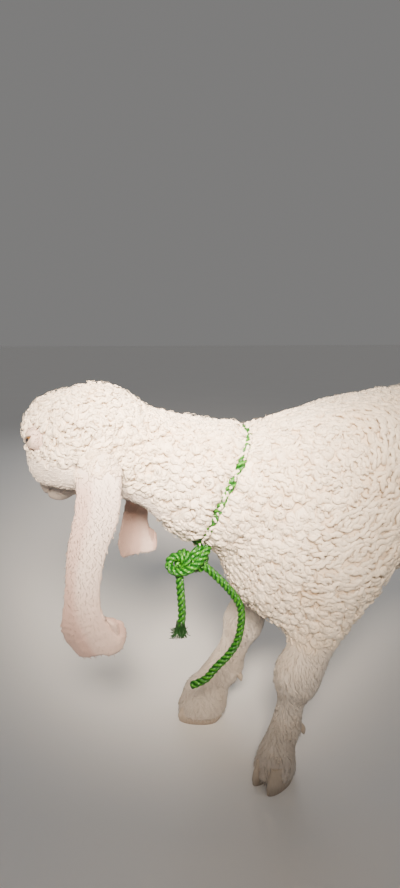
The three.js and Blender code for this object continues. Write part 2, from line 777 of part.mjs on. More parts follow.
// The origin lies on the floor, under the middle of the animal's box; the rope's loose ends aren't counted.
const animal = new THREE.Group();
const box = new THREE.Box3();
for (const [name, solid] of Object.entries(pieces)) {
  const mesh = meshOf(name, solid);
  animal.add(mesh);
  if (!name.startsWith('rope_end')) box.expandByObject(mesh);
}
const middle = box.getCenter(V());
animal.position.set(-middle.x, -middle.y, -box.min.z);

const lamb = new THREE.Group();
lamb.add(animal);

export default lamb;
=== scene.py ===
# A standing lamb with a curly fleece, long hanging ears and a knotted rope collar.
#
# One skin stands for all the flesh. It lies under the solids by the depth of the coat, and the coat
# grows back out from it: curled locks on head, neck, trunk and tail, short hair on face, ears and legs.
# Everything is in metres, in the frame's own axes: +X to the tail, -Y to the animal's left, +Z up.

import json
import math

import bpy
import numpy as np
from mathutils import Matrix, Vector
from mathutils.bvhtree import BVHTree
from mathutils.kdtree import KDTree

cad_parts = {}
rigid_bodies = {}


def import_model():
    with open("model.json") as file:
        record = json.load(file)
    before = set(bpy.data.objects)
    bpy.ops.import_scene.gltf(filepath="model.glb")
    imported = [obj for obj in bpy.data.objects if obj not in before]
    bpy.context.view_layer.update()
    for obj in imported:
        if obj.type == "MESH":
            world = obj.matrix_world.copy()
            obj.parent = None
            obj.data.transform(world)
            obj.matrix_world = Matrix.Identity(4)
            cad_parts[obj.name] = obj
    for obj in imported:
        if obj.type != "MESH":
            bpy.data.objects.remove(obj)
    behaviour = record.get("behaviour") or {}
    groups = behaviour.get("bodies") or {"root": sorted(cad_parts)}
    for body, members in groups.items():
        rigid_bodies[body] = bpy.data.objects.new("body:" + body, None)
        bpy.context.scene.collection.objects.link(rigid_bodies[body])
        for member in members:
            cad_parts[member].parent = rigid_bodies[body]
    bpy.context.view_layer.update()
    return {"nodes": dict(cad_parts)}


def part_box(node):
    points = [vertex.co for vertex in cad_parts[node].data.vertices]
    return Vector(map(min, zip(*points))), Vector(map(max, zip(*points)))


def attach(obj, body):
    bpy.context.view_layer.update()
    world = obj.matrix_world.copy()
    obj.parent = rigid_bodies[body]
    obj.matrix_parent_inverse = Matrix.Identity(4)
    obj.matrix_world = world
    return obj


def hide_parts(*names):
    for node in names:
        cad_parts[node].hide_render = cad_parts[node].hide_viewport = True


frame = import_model()

# ---------------------------------------------------------------- places and directions

MM = 0.001
BETWEEN_FORE_FEET = np.array([-0.17229, -0.00008, 0.0])  # the places below are measured from here

LEFT_SIDE = -1
RIGHT_SIDE = 1


def place(x, y, z):
    """A point given in millimetres from between the fore feet."""
    return BETWEEN_FORE_FEET + MM * np.array([x, y, z], float)


HEAD_CENTRE = place(-181, 14, 458)
HEAD_TURN = math.radians(54)  # to the animal's right
HEAD_DROP = math.radians(39)  # below the horizontal
TURN_COS, TURN_SIN = math.cos(HEAD_TURN), math.sin(HEAD_TURN)
DROP_COS, DROP_SIN = math.cos(HEAD_DROP), math.sin(HEAD_DROP)
NOSE = np.array([-TURN_COS * DROP_COS, TURN_SIN * DROP_COS, -DROP_SIN])
BROW = np.array([-TURN_COS * DROP_SIN, TURN_SIN * DROP_SIN, DROP_COS])
LEFT = np.cross(BROW, NOSE)
HEAD_AXES = np.stack([NOSE, LEFT, BROW])

EARS = {
    "ear_left": [
        place(-190, -36, 468), place(-183, -58, 458), place(-179, -72, 432), place(-183, -77, 392),
        place(-196, -77, 343), place(-203, -76, 300), place(-199, -73, 262), place(-183, -68, 220),
    ],
    "ear_right": [
        place(-132, 30, 470), place(-112, 62, 466), place(-101, 84, 440),
        place(-108, 90, 386), place(-119, 87, 330), place(-117, 80, 276),
    ],
}
EAR_REARWARD = {"ear_left": np.array([0.98, -0.2, 0]), "ear_right": np.array([0.9, 0.3, 0])}
EAR_REACH = 60 * MM  # no part of an ear lies farther from its centreline

# Each foot: the middle between its claws, its turn about the vertical in degrees, its girth and its side.
FEET = {
    "forefoot_left": (place(42, -65, 0), 30, 0.92, LEFT_SIDE),
    "forefoot_right": (place(-16, 80, 0), -14, 1.14, RIGHT_SIDE),
    "hindfoot_left": (place(494, -70, 0), 8, 1.0, LEFT_SIDE),
    "hindfoot_right": (place(528, 70, 0), -8, 1.0, RIGHT_SIDE),
}

FLESH = (
    "head", "neck", "trunk", "tail", "foreleg_left", "foreleg_right", "hindleg_left", "hindleg_right",
    "ear_left", "ear_right",
)
EYES = ("eye_left", "eye_right")


def in_head(points):
    """Millimetres towards the muzzle, to the animal's left and towards the forehead."""
    return (points - HEAD_CENTRE) @ HEAD_AXES.T / MM


# ---------------------------------------------------------------- small mathematics


def ramp(x, low, high):
    """0 at low and before it, 1 at high and past it, smooth between."""
    t = np.clip((x - low) / (high - low), 0, 1)
    return t * t * (3 - 2 * t)


def mix(a, b, share):
    return a * (1 - share) + b * share


def unit(v):
    length = np.linalg.norm(v, axis=-1, keepdims=True)
    return v / np.maximum(length, 1e-12)


def flatten_to(v, normal):
    """The part of v that lies in the plane across normal, as a unit vector."""
    return unit(v - normal * np.sum(v * normal, axis=-1, keepdims=True))


def smooth_path(points, step, closed=False):
    """A Catmull-Rom curve through the points, as points `step` apart."""
    points = np.array(points, float)
    count = len(points)
    fine = []
    for i in range(count if closed else count - 1):
        if closed:
            p0, p1, p2, p3 = (points[(i + k) % count] for k in (-1, 0, 1, 2))
        else:
            p1, p2 = points[i], points[i + 1]
            p0 = points[i - 1] if i else 2 * p1 - p2
            p3 = points[i + 2] if i + 2 < count else 2 * p2 - p1
        t = np.linspace(0, 1, 24, endpoint=False)[:, None]
        fine.append(
            0.5 * (2 * p1 + (p2 - p0) * t + (2 * p0 - 5 * p1 + 4 * p2 - p3) * t**2
                   + (3 * p1 - p0 - 3 * p2 + p3) * t**3)
        )
    fine = np.vstack(fine + [points[:1] if closed else points[-1:]])
    along = np.concatenate([[0], np.cumsum(np.linalg.norm(np.diff(fine, axis=0), axis=1))])
    steps = max(3, round(along[-1] / step))
    at = np.linspace(0, along[-1], steps + 1)
    even = np.stack([np.interp(at, along, fine[:, k]) for k in range(3)], 1)
    return even[:-1] if closed else even


def path_length(points):
    return float(np.linalg.norm(np.diff(points, axis=0), axis=1).sum())


def distance_to_path(points, path):
    """Distance from each point to a line of points, and how far along the line, from 0 to 1."""
    best = np.full(len(points), np.inf)
    share = np.zeros(len(points))
    total = len(path) - 1
    for i in range(total):
        a, d = path[i], path[i + 1] - path[i]
        t = np.clip((points - a) @ d / (d @ d), 0, 1)
        gap = np.linalg.norm(points - a - t[:, None] * d, axis=1)
        nearer = gap < best
        best[nearer] = gap[nearer]
        share[nearer] = (i + t[nearer]) / total
    return best, share


# ---------------------------------------------------------------- meshes and objects


def select_only(*objects):
    bpy.ops.object.select_all(action="DESELECT")
    for o in objects:
        o.select_set(True)
    bpy.context.view_layer.objects.active = objects[0]


def apply_modifier(obj, kind, **settings):
    modifier = obj.modifiers.new(kind.lower(), kind)
    for key, value in settings.items():
        setattr(modifier, key, value)
    select_only(obj)
    bpy.ops.object.modifier_apply(modifier=modifier.name)


def settle_in_frame(obj):
    """Puts an object's place, turn and scale into its mesh."""
    select_only(obj)
    bpy.ops.object.transform_apply(location=True, rotation=True, scale=True)


def points_of(obj):
    points = np.empty(len(obj.data.vertices) * 3)
    obj.data.vertices.foreach_get("co", points)
    return points.reshape(-1, 3)


def triangles_of(mesh):
    """The corners of a mesh of triangles, one row for each."""
    corners = np.empty(len(mesh.loops), np.int32)
    mesh.loops.foreach_get("vertex_index", corners)
    return corners.reshape(-1, 3)


def normals_of(obj):
    normals = np.empty(len(obj.data.vertices) * 3)
    obj.data.vertex_normals.foreach_get("vector", normals)
    return normals.reshape(-1, 3)


def move_points(obj, points):
    obj.data.vertices.foreach_set("co", points.astype(np.float32).ravel())
    obj.data.update()


def write_attribute(mesh, name, values):
    """Numbers, or vectors in rows of three, on the points of a mesh."""
    kind, key = ("FLOAT_VECTOR", "vector") if values.ndim == 2 else ("FLOAT", "value")
    attribute = mesh.attributes.new(name, kind, "POINT")
    attribute.data.foreach_set(key, values.astype(np.float32).ravel())


def mesh_piece(name, points, triangles, uv_name, corner_uv, attributes):
    """A smooth-shaded object from arrays. corner_uv has one row for each corner of each triangle."""
    mesh = bpy.data.meshes.new(name)
    mesh.vertices.add(len(points))
    mesh.vertices.foreach_set("co", points.astype(np.float32).ravel())
    mesh.loops.add(triangles.size)
    mesh.loops.foreach_set("vertex_index", triangles.astype(np.int32).ravel())
    mesh.polygons.add(len(triangles))
    mesh.polygons.foreach_set("loop_start", np.arange(0, triangles.size, 3, dtype=np.int32))
    mesh.polygons.foreach_set("use_smooth", np.ones(len(triangles), dtype=bool))
    mesh.update(calc_edges=True)
    layer = mesh.uv_layers.new(name=uv_name)
    layer.data.foreach_set("uv", corner_uv.astype(np.float32).ravel())
    for key, values in attributes.items():
        write_attribute(mesh, key, values)
    obj = bpy.data.objects.new(name, mesh)
    bpy.context.scene.collection.objects.link(obj)
    return obj


def finish_piece(obj, material, slot, *nodes):
    """Gives a piece its material and its body, and hides the solids that it stands for. The slot is not used.
    """
    obj.data.materials.clear()
    obj.data.materials.append(material)
    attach(obj, "root")
    if nodes:
        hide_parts(*nodes)
    return obj


# ---------------------------------------------------------------- camera


CAMERA_PLACE = (-0.39985, -0.63257, 0.580)
CAMERA_TILT = math.radians(78.773)
CAMERA_TURN = math.radians(-16)
CAMERA_LENS = 21.65


def add_camera():
    data = bpy.data.cameras.new("camera")
    data.lens = CAMERA_LENS
    camera = bpy.data.objects.new("camera", data)
    bpy.context.scene.collection.objects.link(camera)
    camera.location = CAMERA_PLACE
    camera.rotation_euler = (CAMERA_TILT, 0, CAMERA_TURN)
    bpy.context.scene.camera = camera


# ---------------------------------------------------------------- materials


class Shader:
    """A node material with one Principled BSDF, built a node at a time."""

    def __init__(self, name, **constants):
        self.material = bpy.data.materials.new(name)
        self.material.use_nodes = True
        self.tree = self.material.node_tree
        self.surface = self.tree.nodes["Principled BSDF"]
        for key, value in constants.items():
            self.surface.inputs[key.replace("_", " ")].default_value = value

    def node(self, kind, inputs=None, **settings):
        return add_node(self.tree, kind, inputs, **settings)

    def to_surface(self, **links):
        for key, socket in links.items():
            self.tree.links.new(socket, self.surface.inputs[key.replace("_", " ")])
        return self.material


def add_node(tree, kind, inputs=None, **settings):
    """A node with its settings. Inputs, by name or number, are values or other nodes' sockets."""
    made = tree.nodes.new(kind)
    for key, value in settings.items():
        setattr(made, key, value)
    for key, value in (inputs or {}).items():
        if isinstance(value, bpy.types.NodeSocket):
            tree.links.new(value, made.inputs[key])
        else:
            made.inputs[key].default_value = value
    return made


def add_mix(tree, share, a, b, mode="MIX"):
    inputs = {0: share, 6: a, 7: b}
    return add_node(tree, "ShaderNodeMix", inputs, data_type="RGBA", blend_type=mode).outputs[2]


def add_math(tree, operation, a, b=0.0, clamp=False):
    return add_node(tree, "ShaderNodeMath", {0: a, 1: b}, operation=operation, use_clamp=clamp).outputs[0]


def add_attribute(tree, name):
    return add_node(tree, "ShaderNodeAttribute", attribute_name=name).outputs["Fac"]


def add_place(tree):
    return add_node(tree, "ShaderNodeTexCoord").outputs["Object"]


def add_noise(tree, where, scale, detail, roughness=0.5, distortion=0.0):
    inputs = {
        "Vector": where, "Scale": scale, "Detail": detail, "Roughness": roughness, "Distortion": distortion,
    }
    return add_node(tree, "ShaderNodeTexNoise", inputs).outputs["Fac"]


def add_range(tree, value, low=0.0, high=1.0, to_low=0.0, to_high=1.0):
    inputs = {"Value": value, "From Min": low, "From Max": high, "To Min": to_low, "To Max": to_high}
    return add_node(tree, "ShaderNodeMapRange", inputs).outputs["Result"]


def add_stretch(tree, where, scale):
    return add_node(tree, "ShaderNodeMapping", {"Vector": where, "Scale": scale}).outputs[0]


def add_relief(tree, height, strength, distance):
    inputs = {"Height": height, "Strength": strength, "Distance": distance}
    return add_node(tree, "ShaderNodeBump", inputs).outputs["Normal"]


def add_length(tree, vector):
    return add_node(tree, "ShaderNodeVectorMath", {0: vector}, operation="LENGTH").outputs["Value"]


def new_group(name, inputs, outputs):
    """A shader node group with named sockets. Returns it with its input and output nodes."""
    group = bpy.data.node_groups.new(name, "ShaderNodeTree")
    for key, kind in inputs.items():
        group.interface.new_socket(name=key, in_out="INPUT", socket_type=kind)
    for key, kind in outputs.items():
        group.interface.new_socket(name=key, in_out="OUTPUT", socket_type=kind)
    return group, group.nodes.new("NodeGroupInput"), group.nodes.new("NodeGroupOutput")


CREAM_TIP = (0.88, 0.775, 0.645, 1)
# The root colours are painted shade: locks and hairs are coloured darker where they crowd at the skin, the
# short hair only a little.
CREAM_ROOT_SHADED = (0.76, 0.635, 0.495, 1)
HAIR_TIP = (0.82, 0.745, 0.675, 1)
HAIR_ROOT = (0.80, 0.725, 0.655, 1)
YOLK = (0.90, 0.80, 0.66, 1)  # the warm stain of the wool's grease
BARE_PINK = (0.62, 0.40, 0.35, 1)
# Brown for dirt and for painted shade: low on the legs, in hollows and grooves.
DIRT_AND_SHADE = (0.40, 0.33, 0.27, 1)
HORN_PALE = (0.62, 0.52, 0.42, 1)
HORN_STREAK = (0.46, 0.37, 0.29, 1)
HORN_DARK_LOW = (0.20, 0.155, 0.12, 1)
IRIS_DARK = (0.10, 0.05, 0.02, 1)
IRIS_AMBER = (0.20, 0.11, 0.045, 1)
IRIS_RIM = (0.05, 0.03, 0.02, 1)
PUPIL = (0.004, 0.004, 0.006, 1)
# Rope colours: painted shade for the grooves, the strands' green, and painted highlights for their crests.
ROPE_GROOVE_SHADE = (0.002, 0.030, 0.002, 1)
ROPE_GREEN = (0.007, 0.125, 0.004, 1)
ROPE_CREST_HIGHLIGHT = (0.10, 0.42, 0.010, 1)
FRAY_GREEN = (0.006, 0.10, 0.004, 1)
FRAY_TIP_HIGHLIGHT = (0.02, 0.20, 0.008, 1)
FLOOR_GREY = (0.90, 0.89, 0.88, 1)
FLOOR_PALE = (0.94, 0.93, 0.92, 1)


def coat_colour_group():
    """The colours shared by skin and coat, with their dirt and painted shade.

    Cream, warmer in patches, pink where the skin is bare and where painted shade darkens the ears, browner
    with dirt and painted shade on the legs and muzzle, and with painted shade alone in the ear hollows, the
    grooves of mouth and nostrils and round the eyes.
    """
    group, given, result = new_group(
        "coat_marks_and_shade",
        {"Base": "NodeSocketColor"},
        {"Color": "NodeSocketColor"},
    )
    where = add_place(group)
    stained = add_range(group, add_noise(group, where, 14.0, 3.0, 0.6), 0.45, 0.75, to_high=0.5)
    colour = add_mix(group, stained, given.outputs["Base"], YOLK, "MULTIPLY")
    # Pink of bare skin, which on the lower ears and in their hollows also stands for painted shade.
    colour = add_mix(group, add_attribute(group, "bare"), colour, BARE_PINK)
    uneven = add_math(group, "ADD", add_noise(group, where, 60.0, 4.0, 0.7), 0.35)
    # Dirt and painted shade together, made uneven by noise.
    darkened = add_math(group, "MULTIPLY", add_attribute(group, "dirt_and_shade"), uneven, True)
    colour = add_mix(group, darkened, colour, DIRT_AND_SHADE)
    group.links.new(colour, result.inputs["Color"])
    return group


def coat_material(name, marks_and_shade, tip, root, roughness):
    """Locks and hairs: painted shade darkens them towards the root, each is a little different, with fine
    fibre relief.
    """
    shader = Shader(name, Roughness=roughness, Sheen_Weight=0.25, Sheen_Roughness=0.6)
    tree = shader.tree
    lit = add_math(tree, "POWER", add_attribute(tree, "along"), 0.6)
    base = add_mix(tree, lit, root, tip)
    # Each lock's own tint, chosen at random.
    tone = add_range(tree, add_attribute(tree, "tone"), to_low=0.86, to_high=1.04)
    shade = shader.node("ShaderNodeCombineColor", {0: tone, 1: tone, 2: tone}).outputs["Color"]
    base = add_mix(tree, 1.0, base, shade, "MULTIPLY")
    marked = shader.node("ShaderNodeGroup", {"Base": base}, node_tree=marks_and_shade)
    lock = shader.node("ShaderNodeAttribute", attribute_name="fibre").outputs["Vector"]
    fibres = add_noise(tree, add_stretch(tree, lock, (1.0, 1.0, 0.16)), 1.3, 2.0, 0.6)
    relief = add_relief(tree, fibres, 0.5, 0.0008)
    return shader.to_surface(Base_Color=marked.outputs["Color"], Normal=relief)


def skin_material(marks_and_shade):
    """The skin under the coat: woolly felt under the fleece, in the painted shade of the wool's roots, fine
    pores and nap elsewhere.
    """
    shader = Shader("skin", Roughness=0.8, Sheen_Weight=0.2)
    tree = shader.tree
    base = add_mix(tree, add_attribute(tree, "woolly"), HAIR_ROOT, CREAM_ROOT_SHADED)
    marked = shader.node("ShaderNodeGroup", {"Base": base}, node_tree=marks_and_shade)
    where = add_place(tree)
    nap = add_noise(tree, where, 700.0, 4.0, 0.75)
    folds = add_noise(tree, where, 130.0, 2.0, distortion=0.8)
    height = add_math(tree, "ADD", nap, add_math(tree, "MULTIPLY", folds, 1.6))
    relief = add_relief(tree, height, 0.5, 0.0006)
    return shader.to_surface(Base_Color=marked.outputs["Color"], Normal=relief)


def horn_material():
    """Pale horn: growth rings round the claw, streaks down it, darker towards the sole."""
    shader = Shader("horn", Roughness=0.5)
    tree = shader.tree
    where = add_place(tree)
    streaks = add_noise(tree, add_stretch(tree, where, (1, 1, 0.12)), 420.0, 4.0, 0.65)
    rings = shader.node(
        "ShaderNodeTexWave",
        {"Vector": where, "Scale": 42.0, "Distortion": 2.5, "Detail": 2.0, "Detail Scale": 1.5},
        bands_direction="Z",
    ).outputs["Fac"]
    height_up = shader.node("ShaderNodeSeparateXYZ", {0: where}).outputs["Z"]
    low = add_range(tree, height_up, 0.0, 0.016, 0.75, 0.0)
    base = add_mix(tree, streaks, HORN_PALE, HORN_STREAK)
    # Darker towards the sole, most where it is streaked.
    darker_low = add_math(tree, "MULTIPLY", low, add_math(tree, "ADD", streaks, 0.3), True)
    base = add_mix(tree, darker_low, base, HORN_DARK_LOW)
    height = add_math(tree, "ADD", rings, add_math(tree, "MULTIPLY", streaks, 0.8))
    rough = add_range(tree, streaks, to_low=0.4, to_high=0.7)
    relief = add_relief(tree, height, 0.4, 0.0007)
    return shader.to_surface(Base_Color=base, Normal=relief, Roughness=rough)


def rope_material(name, dark, bright, crest_highlight):
    """Laid plastic fibre: filaments slanting round each strand, with painted shade in the grooves and along
    the lines between filaments, and painted highlights speckled along the strands' crests.
    """
    shader = Shader(name, Roughness=0.42)
    tree = shader.tree
    around = shader.node("ShaderNodeUVMap", uv_map="Strand").outputs["UV"]
    filaments = shader.node(
        "ShaderNodeTexWave",
        {"Vector": around, "Scale": 3.2, "Distortion": 1.2, "Detail": 2.0, "Detail Scale": 2.0},
        bands_direction="DIAGONAL",
    ).outputs["Fac"]
    highlight_noise = add_noise(tree, add_stretch(tree, around, (2.0, 0.35, 1)), 2.4, 2.0)
    outer = add_attribute(tree, "outer")
    # Painted highlights, speckled by noise, on the outermost side of each strand; painted shade towards the
    # grooves.
    crest = add_math(tree, "MULTIPLY", add_math(tree, "POWER", outer, 3.0), highlight_noise)
    body = add_mix(tree, outer, dark, bright)
    body = add_mix(tree, add_range(tree, crest, 0.3, 0.62), body, crest_highlight)
    # Painted shade in the lines between the filaments.
    body = add_mix(tree, add_math(tree, "MULTIPLY", filaments, 0.45), body, dark)
    return shader.to_surface(Base_Color=body, Normal=add_relief(tree, filaments, 0.7, 0.0005))


def eye_material(name, centre, axes):
    """A dark amber iris with a level, oblong pupil."""
    shader = Shader(name, Roughness=0.06, Coat_Weight=1.0, Coat_Roughness=0.02)
    tree = shader.tree
    turn = Matrix(axes.T.tolist()).to_euler()
    local = shader.node(
        "ShaderNodeMapping",
        {"Vector": add_place(tree), "Location": tuple(centre), "Rotation": tuple(turn)},
        vector_type="TEXTURE",
    ).outputs[0]
    parts = shader.node("ShaderNodeSeparateXYZ", {0: local})
    along, up = parts.outputs["Y"], parts.outputs["Z"]
    radius = add_length(tree, shader.node("ShaderNodeCombineXYZ", {0: along, 1: up}).outputs[0])
    raised = add_math(tree, "MULTIPLY", up, 2.2)
    oblong = add_length(tree, shader.node("ShaderNodeCombineXYZ", {0: along, 1: raised}).outputs[0])
    iris = add_mix(tree, add_noise(tree, local, 900.0, 3.0), IRIS_DARK, IRIS_AMBER)
    colour = add_mix(tree, add_range(tree, radius, 0.0075, 0.0092), iris, IRIS_RIM)
    colour = add_mix(tree, add_range(tree, oblong, 0.0052, 0.0046), colour, PUPIL)
    return shader.to_surface(Base_Color=colour)


def floor_material():
    shader = Shader("pale_floor", Roughness=0.9)
    mottle = add_noise(shader.tree, add_place(shader.tree), 3.0, 4.0)
    return shader.to_surface(Base_Color=add_mix(shader.tree, mottle, FLOOR_GREY, FLOOR_PALE))


# ---------------------------------------------------------------- ropes

ROPE_RADIUS = 5.5 * MM
ROPE_LAY = 23 * MM  # the length in which a strand goes once round
STRANDS = 3
STRAND_SIDES = 8
STRAND_ANGLES = np.linspace(0, 2 * math.pi, STRAND_SIDES, endpoint=False)

ROPE_STEP = 1.6 * MM  # between the rings of points along it

SHORT_END = [
    place(-81, -26, 300), place(-80, -27, 276), place(-78, -28, 240), place(-80, -28, 219),
]
LONG_END = [
    place(-56, -23, 305), place(-34, -26, 283), place(-14, -27, 260), place(0, -27, 237),
    place(3, -26, 214), place(-1, -24, 185), place(-13, -22, 164), place(-31, -20, 146),
    place(-44, -18, 131), place(-63, -15, 123),
]
COLLAR_TOP = place(14, 0, 467)
COLLAR_BOTTOM = place(-56, 0, 318)
COLLAR_POINTS = 24
ROPE_PRESS = 7 * MM  # how far the wool's weight sinks the rope below its solid
KNOT_LEFT = place(-79, -25, 304)
KNOT_RIGHT = place(-58, -23, 305)
# Each round of the knot: the side it is on, its place from there, its axis and its two radii in millimetres.
KNOT_ROUNDS = (
    (KNOT_LEFT, (-4, 1, -1), (-0.35, -1, 0.15), (10, 10)),
    (KNOT_LEFT, (4, 2, 2), (-1, -0.5, 0.3), (9, 10.5)),
    (KNOT_RIGHT, (3, -1, 1), (0.35, -1, 0.1), (9.5, 12)),
    (KNOT_RIGHT, (2, 2, 6), (1, -0.4, -0.5), (9, 9.5)),
)
KNOT_BRIDGE = [
    place(-42, -24, 322), place(-50, -33, 315), place(-62, -38, 305),
    place(-75, -37, 298), place(-88, -31, 297), place(-94, -22, 303),
]


def travelling_frame(path, closed):
    """Unit vectors along a path and across it, carried along it without twisting."""
    if closed:
        along = unit(np.roll(path, -1, 0) - np.roll(path, 1, 0))
    else:
        along = unit(np.gradient(path, axis=0))
    across = np.empty_like(along)
    start = np.array([0.0, 0.0, 1.0]) if abs(along[0][2]) < 0.8 else np.array([1.0, 0.0, 0.0])
    for i, t in enumerate(along):
        start = unit(start - t * (start @ t))
        across[i] = start
    return along, across, np.cross(along, across)


def across_rope(path, closed):
    """Two unit vectors across a rope at each of its points. Those of a closed rope meet at the join."""
    along, across, other = travelling_frame(path, closed)
    if closed:  # carried once round, they come back turned by some angle: it is taken up evenly
        carried = unit(across[-1] - along[0] * (across[-1] @ along[0]))
        slip = math.atan2(carried @ other[0], carried @ across[0])
        turn_back = -slip * (np.arange(len(path)) / len(path))
        c, s = np.cos(turn_back)[:, None], np.sin(turn_back)[:, None]
        across, other = across * c + other * s, other * c - across * s
    return across, other


def strand_rings(path, outward, closed):
    """Rings of points round one strand, which lies to the outward side of the rope's own path."""
    count = len(path)
    centre = path + ROPE_RADIUS * 0.5 * outward
    if closed:
        forward = unit(np.roll(centre, -1, 0) - np.roll(centre, 1, 0))
    else:
        forward = unit(np.gradient(centre, axis=0))
    first = unit(outward - forward * np.sum(outward * forward, 1, keepdims=True))
    second = np.cross(forward, first)
    size = np.full(count, ROPE_RADIUS * 0.5)
    if not closed:
        size[[0, -1]] *= 0.7  # the cut ends are drawn in
    c, s = np.cos(STRAND_ANGLES)[None, :, None], np.sin(STRAND_ANGLES)[None, :, None]
    return centre[:, None] + size[:, None, None] * (first[:, None] * c + second[:, None] * s)


def strand_faces(count, bays, step, closed):
    """The triangles of one strand's tube, and the place of their corners round it and along it."""
    triangles, uv = [], []
    for i in range(bays):
        n = (i + 1) % count
        for k in range(STRAND_SIDES):
            m = (k + 1) % STRAND_SIDES
            a, b = i * STRAND_SIDES + k, i * STRAND_SIDES + m
            c, d = n * STRAND_SIDES + m, n * STRAND_SIDES + k
            triangles += [(a, b, c), (a, c, d)]
            u0, u1 = k / STRAND_SIDES, (k + 1) / STRAND_SIDES
            v0, v1 = i * step / ROPE_RADIUS / 2, (i + 1) * step / ROPE_RADIUS / 2
            uv += [(u0, v0), (u1, v0), (u1, v1), (u0, v0), (u1, v1), (u0, v1)]
    if not closed:
        for ring, flip in ((0, True), (count - 1, False)):
            start = ring * STRAND_SIDES
            for k in range(1, STRAND_SIDES - 1):
                face = (start, start + k, start + k + 1)
                triangles.append(face[::-1] if flip else face)
                uv += [(0, 0), (0.5, 0), (1, 0)]
    return np.array(triangles), np.array(uv)


def laid_rope(name, path, closed=False):
    """Three strands laid round each other along a path."""
    count = len(path)
    bays = count if closed else count - 1
    step = path_length(path) / (count - 1)
    turns = bays * step / ROPE_LAY
    if closed:
        turns = round(turns)
    across, other = across_rope(path, closed)
    faces, uv = strand_faces(count, bays, step, closed)
    at = np.arange(count) / bays
    points, triangles = [], []
    for strand in range(STRANDS):
        angle = 2 * math.pi * (turns * at + strand / STRANDS)
        outward = across * np.cos(angle)[:, None] + other * np.sin(angle)[:, None]
        points.append(strand_rings(path, outward, closed).reshape(-1, 3))
        triangles.append(faces + strand * count * STRAND_SIDES)
    # How far each point faces out of its strand, which the rope's painted shade and highlights follow.
    outer = np.tile(0.5 + 0.5 * np.cos(STRAND_ANGLES), count * STRANDS)
    uv = np.tile(uv, (STRANDS, 1))
    return mesh_piece(name, np.vstack(points), np.vstack(triangles), "Strand", uv, {"outer": outer})


def add_loose_ends(rope, fibre):
    """The rope's two free ends, one of them frayed."""
    long_path = smooth_path(LONG_END, ROPE_STEP)
    long_end = laid_rope("rope_long_end", long_path)
    finish_piece(long_end, rope, "rope", "rope_end_long")
    short_path = smooth_path(SHORT_END, ROPE_STEP)
    short_end = laid_rope("rope_short_end", short_path)
    fray = frayed_tip("rope_fray", short_path[-1] + np.array([0, 0, 8 * MM]), fibre)
    finish_piece(short_end, rope, "rope", "rope_end_short")


FRAY_FIBRES = 90
FRAY_SEED = 41


def frayed_tip(name, top, material):
    """Loose fibres spreading downwards from the rope's cut end, most of them towards the head."""
    rng = np.random.default_rng(FRAY_SEED)
    angle = rng.uniform(0, 2 * math.pi, FRAY_FIBRES)
    outward = np.stack([np.cos(angle), np.sin(angle), np.zeros(FRAY_FIBRES)], 1)
    roots = top + outward * (ROPE_RADIUS * np.sqrt(rng.uniform(0, 1, FRAY_FIBRES)))[:, None]
    down = np.tile([0.0, 0.0, -1.0], (FRAY_FIBRES, 1))
    away = flatten_to(outward + np.array([-0.7, 0, 0]), down)
    share = np.linspace(0, 1, 7)[None]
    spread = rng.uniform(4, 15, FRAY_FIBRES)[:, None] * MM * share**1.6
    fall = rng.uniform(13, 19, FRAY_FIBRES)[:, None] * MM * np.sin(share * math.pi * 0.62)
    centre = roots[:, None] + spread[..., None] * away[:, None] + fall[..., None] * down[:, None]
    sideways = np.broadcast_to(np.cross(down, away)[:, None], centre.shape)
    fibres = Locks(centre, sideways, rng.uniform(0.5, 0.85, FRAY_FIBRES) * MM, sides=4)
    uv = fibres.corner_uv(np.full((FRAY_FIBRES, 2), 0.5), 1.0)
    # The fibres are coloured along their length: painted shade at the cut end and painted highlights towards
    # their tips.
    fray = mesh_piece(name, fibres.points, fibres.triangles, "Strand", uv, {"outer": fibres.along})
    return finish_piece(fray, material, "rope")


def collar_centreline():
    """The collar's centreline, from its solid: one point for each direction round the neck."""
    points = points_of(frame["nodes"]["collar_rope"])
    middle = (COLLAR_TOP + COLLAR_BOTTOM) / 2
    up = unit(COLLAR_TOP - COLLAR_BOTTOM)
    rel = points - middle
    angle = np.arctan2(-rel[:, 1], rel @ up) % (2 * math.pi)
    sector = np.round(angle / (2 * math.pi) * COLLAR_POINTS).astype(int) % COLLAR_POINTS
    centres = []
    for i in range(COLLAR_POINTS):
        ring = points[sector == i]
        if len(ring) < 6:
            continue
        centres.append((ring.min(0) + ring.max(0)) / 2)
    path = smooth_path(centres, 1.8 * MM, closed=True)
    share = np.arange(len(path)) / len(path)
    pressed = ROPE_PRESS * ramp(np.abs(share - 0.5), 0.03, 0.09) * (1 - 0.7 * rope_bared(share))
    return path - outward_of(path) * pressed[:, None]


ROPE_SHOWN = (0.165, 0.225)  # where the rope shows, as shares of its way round from the withers


def rope_bared(share):
    """How far the wool has parted over the rope, at a share of its way round from the withers."""
    return np.clip(sum(np.exp(-(((share - where) / 0.016) ** 2)) for where in ROPE_SHOWN), 0, 1)


def outward_of(collar):
    """The way out of the neck at each point of the collar."""
    along, _, _ = travelling_frame(collar, closed=True)
    return flatten_to(collar - (COLLAR_TOP + COLLAR_BOTTOM) / 2, along)


def ring_path(centre, axis, radii):
    """A round of rope about an axis."""
    axis = unit(np.array(axis, float))
    side = unit(np.cross([0, 0, 1], axis))
    up = np.cross(axis, side)
    t = 2 * math.pi * np.linspace(0, 1, 48, endpoint=False)
    points = centre + radii[0] * np.cos(t)[:, None] * side + radii[1] * np.sin(t)[:, None] * up
    return smooth_path(points, ROPE_STEP, closed=True)


